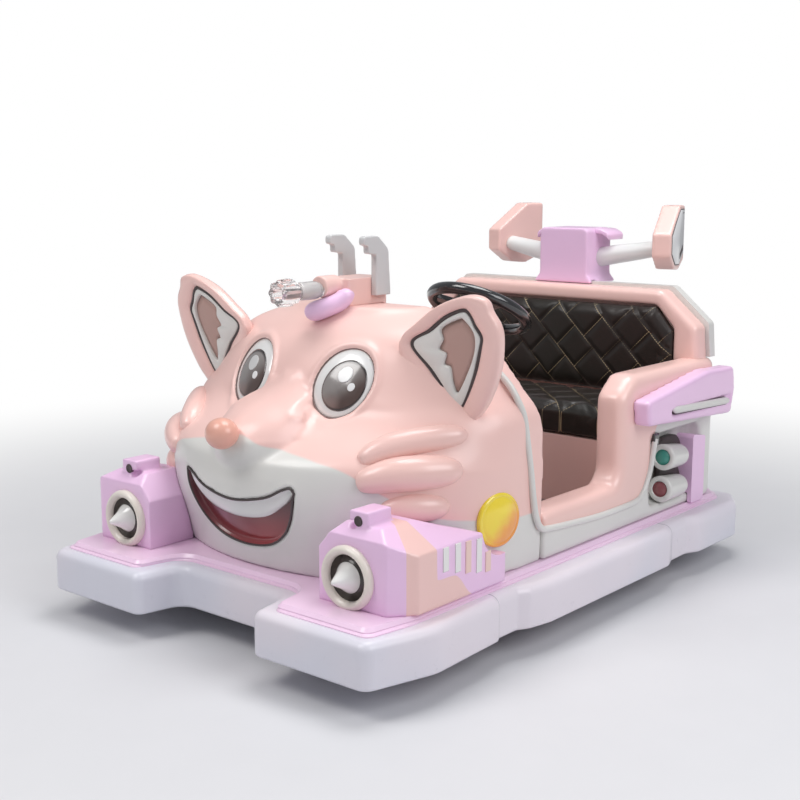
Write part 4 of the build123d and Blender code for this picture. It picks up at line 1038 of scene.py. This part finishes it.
# %% Finish of the pods
def pod_colour(work):
    """Lilac, with a peach stripe from 146 mm, further back on the top, to 227 mm; low down the
    stripe runs on to the rear."""
    part = work.place()[1]
    inward = work.times(work.minus(0.490, work.size(part[0])), 0.62)
    along = work.minus(part[1], work.maths("MAXIMUM", inward, 0.0))
    start = work.ramp(along, front_end + 0.1455, front_end + 0.1470)
    top = curve_of(work, part[1], [(100, 690), (222, 690), (227, 241), (290, 235), (348, 180), (480, 176)],
                   front_end)
    under = work.ramp(work.minus(top, part[2]), -0.001, 0.001)
    block = work.ramp(part[2], 0.3535, 0.3525)
    stripe = work.times(work.times(start, under), block)
    return work.mix(stripe, (*lilac_colour, 1), (0.88, 0.58, 0.54, 1))


finish("pod_gelcoat", pod_colour)
pods = softened("pod_shells", "headlight_housings", 0.004, 3, "pod_gelcoat").data
places = points_of(pods)
back = (places[:, 1] - front_end) * 1000
# The top slopes down to the tail, and a round bay leaves the badge clear
ceiling = np.interp(back, [0, 245, 300, 385, 480], [900, 352, 332, 306, 300])
bay = 311 - np.sqrt(np.clip(67.0**2 - np.minimum(back - 450, 0) ** 2, 0, None))
ceiling = np.where((back > 384) & (np.abs(places[:, 0]) > 0.40), np.minimum(ceiling, bay), ceiling)
places[:, 2] = np.minimum(places[:, 2], ceiling / 1000)
move_points(pods, places)

# %% [markdown]
# Five slats stand on the outer side of each pod, as louvres do on a real lamp housing. Each is a
# flat bar with a bevelled top. One function raises any outline into such a plate, and is used
# again for the tail's surrounds and the panels of the spoiler.

# %% Slats on the pods
def slab(name, outline, thickness, bevel, axes, origin, material, **more):
    """A flat plate: a closed outline on two axes, raised by its thickness, with its top edge drawn
    in by the bevel towards the middle."""
    across, up, out = (np.array(axis, float) for axis in axes)
    outline = np.array(outline, float) / 1000
    middle = outline.mean(axis=0)
    shrink = 1 - bevel / 1000 / np.linalg.norm(outline - middle, axis=1, keepdims=True)
    rows = [(outline, -0.5), (outline, thickness - bevel), (middle + (outline - middle) * shrink, thickness)]
    table = [origin + o[:, :1] * across + o[:, 1:] * up + out * t / 1000 for o, t in rows]
    return surface(name, np.array(table), material, **more)


side_axes = ((0, 1, 0), (0, 0, 1), (1, 0, 0))
pod_side = spot(505, 0, 0)
# Middle along the car, top and foot of each slat, in millimetres
slats = [(254, 304, 252), (295, 304, 241), (331, 301, 231), (369, 298, 223), (402, 262, 217)]
slat_finishes = ["pearl_cone", "pearl_cone", "peach_band", "pearl_cone", "peach_band"]
for number, ((middle_y, top_z, low_z), label) in enumerate(zip(slats, slat_finishes)):
    rear, fore = middle_y + 9, middle_y - 9
    shape = [(fore, top_z), (rear, top_z), (rear, low_z), (fore, low_z)]
    made = twinned(slab(f"pod_slat_{number}", shape, 2.4, 1.0, side_axes, pod_side, label, slot="white"))
    made.data.shade_flat()
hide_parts("pod_vents")

# %% [markdown]
# Lamp rings, cones and badges are turned forms: a profile of radius and depth, carried round an
# axis. Each profile is a short list of places, read closely by the same smooth curve.

# %% Turned forms
def turned(name, profile, origin, axis, material, smooth=True, sides=64, **more):
    """A profile of (radius, distance along the axis) in millimetres, carried round the axis."""
    profile = np.array(profile, float)
    profile = through(profile, 8 * len(profile)) if smooth else profile
    axis = np.array(axis, float) / np.linalg.norm(axis)
    side = np.cross(axis, (0, 0, 1.0))
    side /= np.linalg.norm(side)
    lift = np.cross(side, axis)
    angle = np.linspace(0, 2 * np.pi, sides, endpoint=False)
    way = np.cos(angle)[:, None] * side + np.sin(angle)[:, None] * lift
    radius = np.maximum(profile[:, 0], 0.02)[:, None, None] / 1000
    table = origin + radius * way[None] + (profile[:, 1] / 1000)[:, None, None] * axis
    return surface(name, table, material, **more)


lamp_origin = spot(361, 115, 244)
forward = (0, -1, 0)
ring_profile = [(54, -10), (50, -3), (50, 6), (53, 12), (59, 16), (64.5, 14), (68.5, 8), (69, 0), (64, -8),
                (54, -10)]
rings = twinned(turned("lamp_rings", ring_profile, lamp_origin, forward, "ivory_ring", slot="ivory"))
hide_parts("headlight_rings")
cone_profile = [(0.3, 51), (3.5, 50), (8, 43), (15, 30), (22, 18), (30, 7), (36, -3), (39, -12), (38, -22),
                (30, -34)]
cones = twinned(turned("lamp_cones", cone_profile, lamp_origin, forward, "pearl_cone", slot="pearl"))
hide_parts("headlight_cones")
bowl_profile = [(52, 2), (50.5, -4), (50, -16), (46, -28), (36, -35), (8, -37), (2, -40), (53, -40)]
twinned(turned("lamp_bowls", bowl_profile, lamp_origin, forward, "dark_bowl", slot="black_trim", smooth=False))
eyelet_profile = [(11, -6), (11, 1.4), (9.5, 2.2), (8, 1.8), (7, 1.0), (0.5, 1.0)]
twinned(turned("pod_eyelets", eyelet_profile, spot(371, 135, 361), forward, "groove_dark", slot="black_trim",
               smooth=False, sides=32))

# %% [markdown]
# The badge on the real car is a domed disc with a sticker. Here it is left blank, so only the
# turned disc and its enamel are made. It leans outwards with the side of the head.

# %% Badge, left blank
yaw = math.radians(10.8)
badge_out = np.array([math.cos(yaw), -math.sin(yaw), 0])
badge_profile = [(56, -6), (61, -2), (62, 2), (61, 6), (58, 8.5), (55, 8.8), (52, 8.2), (44, 10.5), (30, 13),
                 (15, 14.6), (1, 15)]
badges = twinned(turned("badge_discs", badge_profile, spot(475, 478, 311), badge_out, "badge_enamel",
                        slot="badge"))
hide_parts("badges")

# %% [markdown]
# Two horns lie one over the other in the tail's recess. Each is a white flared tube with a rolled
# lip and a coloured throat, and a black plate in the shape of an eight frames them.

# %% Horns
def throat_colour(work):
    """White outside; inside the mouth green in the upper horn and dark rose in the lower one."""
    part = work.place()[1]
    upper = work.ramp(part[2], 0.283, 0.285)
    return work.mix(upper, (0.30, 0.075, 0.085, 1), (0.06, 0.34, 0.27, 1))


finish("horn_throat", throat_colour, roughness=0.3, coat=0.5)
horns = [((488, 1196, 330), (482, 1306, 319)), ((488, 1186, 246), (482, 1306, 237))]
for number, (start, end) in enumerate(horns):
    a, b = spot(*start), spot(*end)
    way = (b - a) / np.linalg.norm(b - a)
    length = np.linalg.norm(b - a) * 1000
    outside = [(20, 8), (21, 2), (24, 0), (30, 1), (34, 5), (34.5, 12), (33, 40), (31, 80),
               (28, length - 6), (20, length)]
    inside = [(20.4, 3), (19.5, 8), (18.5, 16), (17, 26), (14, 32), (3, 34)]
    horn = twinned(turned(f"horn_{number}", outside, a, way, "white_gelcoat", slot="white"))
    twinned(turned(f"horn_throat_{number}", inside, a, way, "horn_throat", slot="nose"))
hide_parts("exhaust_tubes")
eight = np.linspace(0, 2 * np.pi, 96, endpoint=False)
waist = 70 - 19 * np.exp(-((np.cos(eight) / 0.28) ** 2))
wide = waist * np.sign(np.sin(eight)) * np.abs(np.sin(eight)) ** 0.55
plate_outline = np.stack([wide, 90 * np.cos(eight)], axis=-1)
twinned(slab("horn_surrounds", plate_outline, 17, 3, side_axes, spot(455, 1268, 285), "groove_dark",
             slot="black_trim"))

# %% [markdown]
# The end plates of the spoiler have a pale sunk panel on the outer face, with a fine dark line
# round it, a small dot near the top and a dark slot low at the back. All three lie on the plate's
# own leaning plane, so their outlines are given along it and up from the backrest's top.

# %% Panels on the spoiler's end plates
toe = math.radians(16)
plate_axes = ((-math.sin(toe), math.cos(toe), 0), (0, 0, 1), (math.cos(toe), math.sin(toe), 0))
plate_origin = spot(318, 1520, 745)
panel = [(14, 92), (14, 142), (58, 176), (112, 213), (160, 213), (160, 92), (150, 84), (106, 58), (60, 60)]
wider = np.array(panel) + 3.0 * np.sign(np.array(panel) - np.mean(panel, axis=0))
finish("panel_white", (0.76, 0.76, 0.76), roughness=0.3)
dot_turn = np.linspace(0, 2 * np.pi, 20, endpoint=False)
dot = np.stack([148 + 4.5 * np.cos(dot_turn), 204 + 3 * np.sin(dot_turn)], axis=-1)
slot_shape = [(112, 72), (150, 96), (150, 112), (112, 88)]
for name, shape, thickness, bevel, label, slot in (
        ("plate_lines", wider, 0.8, 0.4, "groove_dark", "black_trim"),
        ("plate_panels", panel, 2.2, 1.4, "panel_white", "white"),
        ("plate_dots", dot, 2.9, 0.4, "black_gloss", "black_trim"),
        ("plate_slots", slot_shape, 2.9, 0.4, "groove_dark", "black_trim")):
    twinned(slab(name, shape, thickness, bevel, plate_axes, plate_origin, label, slot=slot))

# %% [markdown]
# The toy gun's muzzle is clear plastic with eight lobes. Its radius is a turned profile times
# 1 + depth * cos(8 * angle), where the depth is only felt near the muzzle. A grey core and a dark
# bore stand inside, so the clear part has something to show.

# %% Toy gun
gun_profile = np.array([
    (18, 0), (18, 12), (21, 16), (21, 66), (17, 70), (17, 76), (24, 82), (29, 92), (30, 112),
    (29, 130), (27, 136), (22, 137), (15, 134), (13, 120), (12, 70), (4, 66)], float)
gun_line = through(gun_profile, 120)
angle = np.linspace(0, 2 * np.pi, 96, endpoint=False)[None]
lobes = 1 + 0.075 * smooth_step(gun_line[:, 1:], 78, 92) * np.cos(8 * angle)
reach = gun_line[:, :1] * lobes
gun_axis_y, gun_axis_z = 415, 795
muzzle_table = spot(reach * np.cos(angle), gun_axis_y - gun_line[:, 1:], gun_axis_z + reach * np.sin(angle))
muzzle = surface("gun_muzzle", muzzle_table, "clear_plastic", slot="clear")
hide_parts("gun_barrel")
gun_root = spot(0, 414, gun_axis_z)
core_profile = [(13, 0), (13, 30), (12, 60), (9, 68), (2, 70)]
bore_profile = [(2, 70), (9, 71), (10, 80), (10, 104), (9, 112), (2, 113)]
turned("gun_core", core_profile, gun_root, forward, "grip_plastic", slot="grip")
turned("gun_bore", bore_profile, gun_root, forward, "black_gloss", slot="black_trim")
softened("gun_body", "gun_base", 0.0025, 5, "pink_gelcoat")
softened("gun_handles", "gun_grips", 0.002, 4, "grip_plastic")

# %% [markdown]
# The bench and the back pad are foam under black vinyl, sewn down in a diagonal lattice with tan
# thread. Each pad is a slightly small copy of its solid that is blown up as cloth, held to a
# small rise, and then pulled in along the seams. Rows of the lattice are set off by half a tile,
# as in a woven pattern, and the same sum places the thread in the material.

# %% Padded pieces
tile = 0.085  # width of one tile of the lattice, in metres
cloth_frames = 20


def seam_distance(a, b):
    """Distance in metres to the nearest seam: u = (a + b)/sqrt 2 has a seam at every tile, and
    v = (a - b)/sqrt 2 has one at every tile, moved by half a tile in every second row of u."""
    u, v = (a + b) / np.sqrt(2) / tile, (a - b) / np.sqrt(2) / tile
    v = v + 0.5 * (np.floor(u) % 2)
    return np.minimum(np.abs(u - np.round(u)), np.abs(v - np.round(v))) * tile


def stuffed(name, node, voxel, rise, pull, lattice, material):
    """A pad from a CAD node: shrunk copy, even squares, cloth with pressure and no gravity, every
    point held within rise of its start, then pulled in along the seams by pull * exp(-(d / 6 mm)^2)."""
    low, high = (np.array(corner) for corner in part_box(node))
    middle = (low + high) / 2
    made = solid_copy(name, node)
    move_points(made.data, middle + (points_of(made.data) - middle) * (1 - 0.008 / (high - low)))
    even_squares(made, voxel)
    even = made.data
    rest = points_of(even)
    cloth = made.modifiers.new("stuffing", "CLOTH")
    cloth.settings.use_pressure = True
    cloth.settings.uniform_pressure_force = 4
    cloth.settings.effector_weights.gravity = 0
    cloth.point_cache.frame_start, cloth.point_cache.frame_end = 1, cloth_frames
    for moment in range(1, cloth_frames + 1):
        bpy.context.scene.frame_set(moment)
    blown = points_of(evaluated(made))
    made.modifiers.clear()
    bpy.context.scene.frame_set(1)
    moved = blown - rest
    far = np.linalg.norm(moved, axis=1, keepdims=True)
    points = rest + moved * np.minimum(1, rise / np.maximum(far, 1e-9))
    move_points(even, points)
    normals = points_of(even, "normal")
    away, distance = lattice(points, normals)
    points = points - normals * (pull * away * np.exp(-((distance / 0.006) ** 2)))[:, None]
    move_points(even, np.clip(points, low - [0.001, 0.012, 0], high + [0.001, 0, 0.016]))
    even.shade_smooth()
    dressed(made, material)
    finer = made.modifiers.new("finer", "SUBSURF")
    finer.levels = finer.render_levels = 1
    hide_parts(node)
    print(name, "moved up to", round(float(far.max()) * 1000, 1), "mm")
    return made


# %% [markdown]
# The thread is a row of short tan dashes along each seam. It is worked out in the material from
# the same sum as the pulled-in seams, so the dashes always lie in them.

# %% Stitched vinyl
def stitched(across, up):
    """Black vinyl with tan thread along the seams; across and up pick the two object axes."""
    def colour(work):
        where, part = work.place()
        a, b = part[across], part[up]
        u = work.maths("DIVIDE", work.plus(a, b), tile * math.sqrt(2))
        v = work.maths("DIVIDE", work.minus(a, b), tile * math.sqrt(2))
        odd = work.maths("FLOORED_MODULO", work.maths("FLOOR", u), 2.0)
        v = work.fused(odd, 0.5, v)
        off_u = work.size(work.minus(u, work.maths("ROUND", u)))
        off_v = work.size(work.minus(v, work.maths("ROUND", v)))
        lines = []
        for off, run in ((off_u, v), (off_v, u)):
            dashes = work.ramp(work.maths("SINE", work.times(run, 75.0)), -0.7, -0.3)
            lines.append(work.times(work.ramp(off, 0.0125, 0.0085), dashes))
        thread = work.maths("MAXIMUM", *lines)
        bright = work.ramp(work.noise(where, 9.0), 0.40, 0.62, 0.15, 1.0)
        dark = work.mix(work.noise(where, 5.0, 2.0), (0.010, 0.012, 0.008, 1), (0.028, 0.017, 0.016, 1))
        return work.mix(work.times(thread, bright), dark, (0.42, 0.33, 0.20, 1))
    return colour


for label, axes, coat, shine in (("vinyl_back", (0, 2), 0.05, 0.35), ("vinyl_seat", (0, 1), 0.08, 0.4)):
    finish(label, stitched(*axes), drift=0.3, roughness=0.36, scuff=0.05, ripple=320.0, bump=0.3, coat=coat,
           Specular_IOR_Level=shine)
print("stitched vinyl")

# %% [markdown]
# The back pad is quilted on the face towards the riders, and the bench on its top. A smooth step
# on the point's normal says how far a place belongs to that face.

# %% Back pad and bench
back_pad = stuffed(
    "back_cushion", "backrest_pad", 0.006, 0.009, 0.005,
    lambda p, n: (smooth_step(-n[:, 1], 0.5, 0.9), seam_distance(p[:, 0], p[:, 2])), "vinyl_back").data
stuffed(
    "bench_cushion", "seat_cushion", 0.007, 0.013, 0.006,
    lambda p, n: (smooth_step(n[:, 2], 0.5, 0.9), seam_distance(p[:, 0], p[:, 1])), "vinyl_seat")
places = points_of(back_pad)
# The pad fills its frame, and its foot is tucked down behind the bench
places[:, 0] *= 0.3955 / np.abs(places[:, 0]).max()
places[:, 2] += 0.008 * smooth_step(places[:, 2], 0.60, 0.69)
places[:, 2] -= 0.018 * smooth_step(-places[:, 2], -0.52, -0.47)
move_points(back_pad, places)

# %% [markdown]
# The deck stands on a slightly wider lip, so its edge shows as two steps. The lip is the deck's
# own outline, drawn out a few millimetres and made thin.

# %% Deck lip
deck_lip = solid_copy("deck_lip", "deck")
places = points_of(deck_lip.data)
low, high = places.min(axis=0), places.max(axis=0)
middle = (low + high) / 2
grow, lip_low, lip_high = np.array([1.016, 1.010]), 0.1645, 0.1700
places[:, :2] = middle[:2] + (places[:, :2] - middle[:2]) * grow
places[:, 2] = lip_low + (places[:, 2] - low[2]) / (high[2] - low[2]) * (lip_high - lip_low)
move_points(deck_lip.data, places)
dressed(deck_lip, "deck_gelcoat")

# %% [markdown]
# Each side wing holds a white rod in a slot. The rod is a cord with round ends, and a slightly
# fatter dark one sits behind it, so the slot reads as a shadow line all round the rod.

# %% Bars in the wing slots
line = through(spot([533, 533, 533], [1160, 1318, 1474], [466, 458, 450]), 40)
bars = rounded_rod("wing_rods", line, 0.0100, "white_gelcoat", "white")
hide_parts("wing_bars")
further_in = np.array([-0.0055, 0, -0.0015])  # and a little lower
# painted shadow: a fatter dark rod behind the white one, in the slot
rounded_rod("wing_slot_shadows", line + further_in, 0.0125, "groove_dark", "black_trim")

# %% [markdown]
# Two lugs stand off the sides of the spoiler's tower to carry the bars. They are tapered blocks,
# and a bevel takes their edges off as the mould's draft would.

# %% Lugs on the spoiler tower
lug_tops = ((78, 904), (100, 902), (118, 893), (124, 886))
lug_rows = [spot(x, [1502, 1588, 1588, 1502], [z - 15, z - 15, z, z]) for x, z in lug_tops]
lugs = twinned(surface("tower_lugs", np.array(lug_rows), "lilac_gelcoat", slot="lilac"))
bevel = lugs.modifiers.new("soft_edges", "BEVEL")
bevel.width, bevel.segments, bevel.limit_method = 0.004, 3, "ANGLE"

# %% [markdown]
# The spoiler's two bars are one spar that droops to the middle and is thinnest at its ends. The
# wheel's rim is a padded ring on the wheel's own tilted plane, so it turns with the wheel.

# %% Spoiler spar and wheel rim
line = through(spot([-254, -150, 0, 150, 254], [1556, 1548, 1540, 1548, 1556], [849, 832, 812, 832, 849]), 60)
run = np.abs(np.linspace(-1, 1, 60))
spar = tube("spoiler_spar", line, 0.036 - 0.010 * run, "bar_plastic", sides=28, flat=0.85, slot="grip")
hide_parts("spoiler_bar")
wheel_middle, rim_radius = spot(150, 841, 725), 0.123
tilt_axis = np.array([0, 0.5, math.sqrt(0.75)])
ring = np.linspace(0, 2 * np.pi, 96, endpoint=False)[:, None]
low_side = np.cross(tilt_axis, (1.0, 0, 0))
rim_line = wheel_middle + rim_radius * (np.cos(ring) * np.array([1.0, 0, 0]) + np.sin(ring) * low_side)
tube("steering_rim", rim_line, 0.0152, "black_gloss", closed=True, sides=20, up=tuple(tilt_axis),
     body="steering_wheel", slot="black_trim")

# %% [markdown]
# The studio is a pale floor that fades into white, so the car keeps its shadow and nothing else
# shows. The fade is seen by the camera and by reflections only. Three large soft lamps light it.

# %% Floor and white surroundings
def white_where(tree, kinds, lit, white, end, fade=1.0):
    """Sends a lit shader to the tree's end, and plain white in its place for the given ray kinds,
    as far as the fade says."""
    work, seen = Tree(tree), None
    rays = work.add("LightPath").outputs
    for kind in kinds:
        seen = rays[kind] if seen is None else work.plus(seen, rays[kind])
    blend = work.add("MixShader", Fac=work.times(fade, work.maths("MINIMUM", 1.0, seen)))
    work.put(lit.outputs[0], blend.inputs[1])
    work.put(white.outputs[0], blend.inputs[2])
    work.put(blend.outputs[0], tree.nodes[end].inputs["Surface"])


floor_radius, fade_start, fade_end = 9, 0.9, 3.2
round_floor = np.linspace(0, 2 * np.pi, 96, endpoint=False)
floor_edge = floor_radius * np.stack([np.cos(round_floor), np.sin(round_floor), 0 * round_floor], axis=-1)
floor_mesh = bpy.data.meshes.new("studio_floor")
floor_mesh.from_pydata(floor_edge.tolist(), [], [list(range(len(floor_edge)))])
placed("studio_floor", floor_mesh)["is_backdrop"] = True
paper = bpy.data.materials.new("studio_paper")
paper.use_nodes = True
work = Tree(paper.node_tree)
shader = paper.node_tree.nodes["Principled BSDF"]
shader.inputs["Roughness"].default_value = 0.55
shader.inputs["Specular IOR Level"].default_value = 0.2
where = work.place()[0]
speck = work.noise(where, 9.0, 2.0)
work.put(work.mix(speck, (0.68, 0.68, 0.70, 1), (0.70, 0.70, 0.72, 1)), shader.inputs["Base Color"])
distance = work.add("VectorMath", operation="LENGTH", Vector=where).outputs["Value"]
white_where(paper.node_tree, ("Is Camera Ray", "Is Glossy Ray", "Is Transmission Ray"), shader,
            work.add("Emission", Strength=1.0), "Material Output", work.ramp(distance, fade_start, fade_end))
floor_mesh.materials.append(paper)

world = bpy.data.worlds.new("studio_surroundings")
bpy.context.scene.world = world
world.use_nodes = True
sky = world.node_tree.nodes["Background"]
sky.inputs["Color"].default_value = (0.93, 0.95, 1.0, 1)
sky.inputs["Strength"].default_value = 0.35
seen_white = Tree(world.node_tree).add("Background", Color=(1, 1, 1, 1), Strength=1.0)
white_where(world.node_tree, ("Is Camera Ray", "Is Transmission Ray"), sky, seen_white, "World Output")
print("studio floor and surroundings")

# %% [markdown]
# Large square lamps give soft shadows with no hard edge, as a photographic studio does. The key
# lamp stands in front, the second one at the side and the third overhead.

# %% Lamps
def lamp(name, place, size, watts, colour=(1, 1, 1), target=(0, 0, 0.4)):
    """A square soft lamp at a place in metres, turned to face the target."""
    light = bpy.data.lights.new(name, "AREA")
    light.size, light.energy, light.color = size, watts, colour
    made = placed(name, light)
    made.location = place
    made.rotation_euler = (Vector(target) - Vector(place)).to_track_quat("-Z", "Y").to_euler()


lamp("key_lamp", (-1.0, -2.7, 3.7), 1.8, 64, (1.0, 0.985, 0.97))
lamp("side_lamp", (3.6, -0.4, 2.8), 2.2, 62, (0.97, 0.98, 1.0))
lamp("top_lamp", (0.2, 0.4, 3.8), 1.9, 66)
print("three lamps")

# %% [markdown]
# The camera stands where the picture was taken from. Its place and lens come from matched points
# on both sides of the car: 40 degrees round from the front, about a metre above the floor.

# %% Camera
camera_data = bpy.data.cameras.new("photo_camera")
camera_data.lens, camera_data.sensor_width = 57.8, 36.0
camera = placed("photo_camera", camera_data)
camera.location = (2.07402, -2.60622, 1.065)
camera.rotation_euler = (math.radians(79.95), 0, math.radians(40))
bpy.context.scene.camera = camera
bpy.context.scene.view_settings.view_transform = "Standard"
print("camera set")

# %% [markdown]
# The box of everything that is seen is worked out and printed.

low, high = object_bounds()
print("visual box", [round(v, 3) for v in high - low])
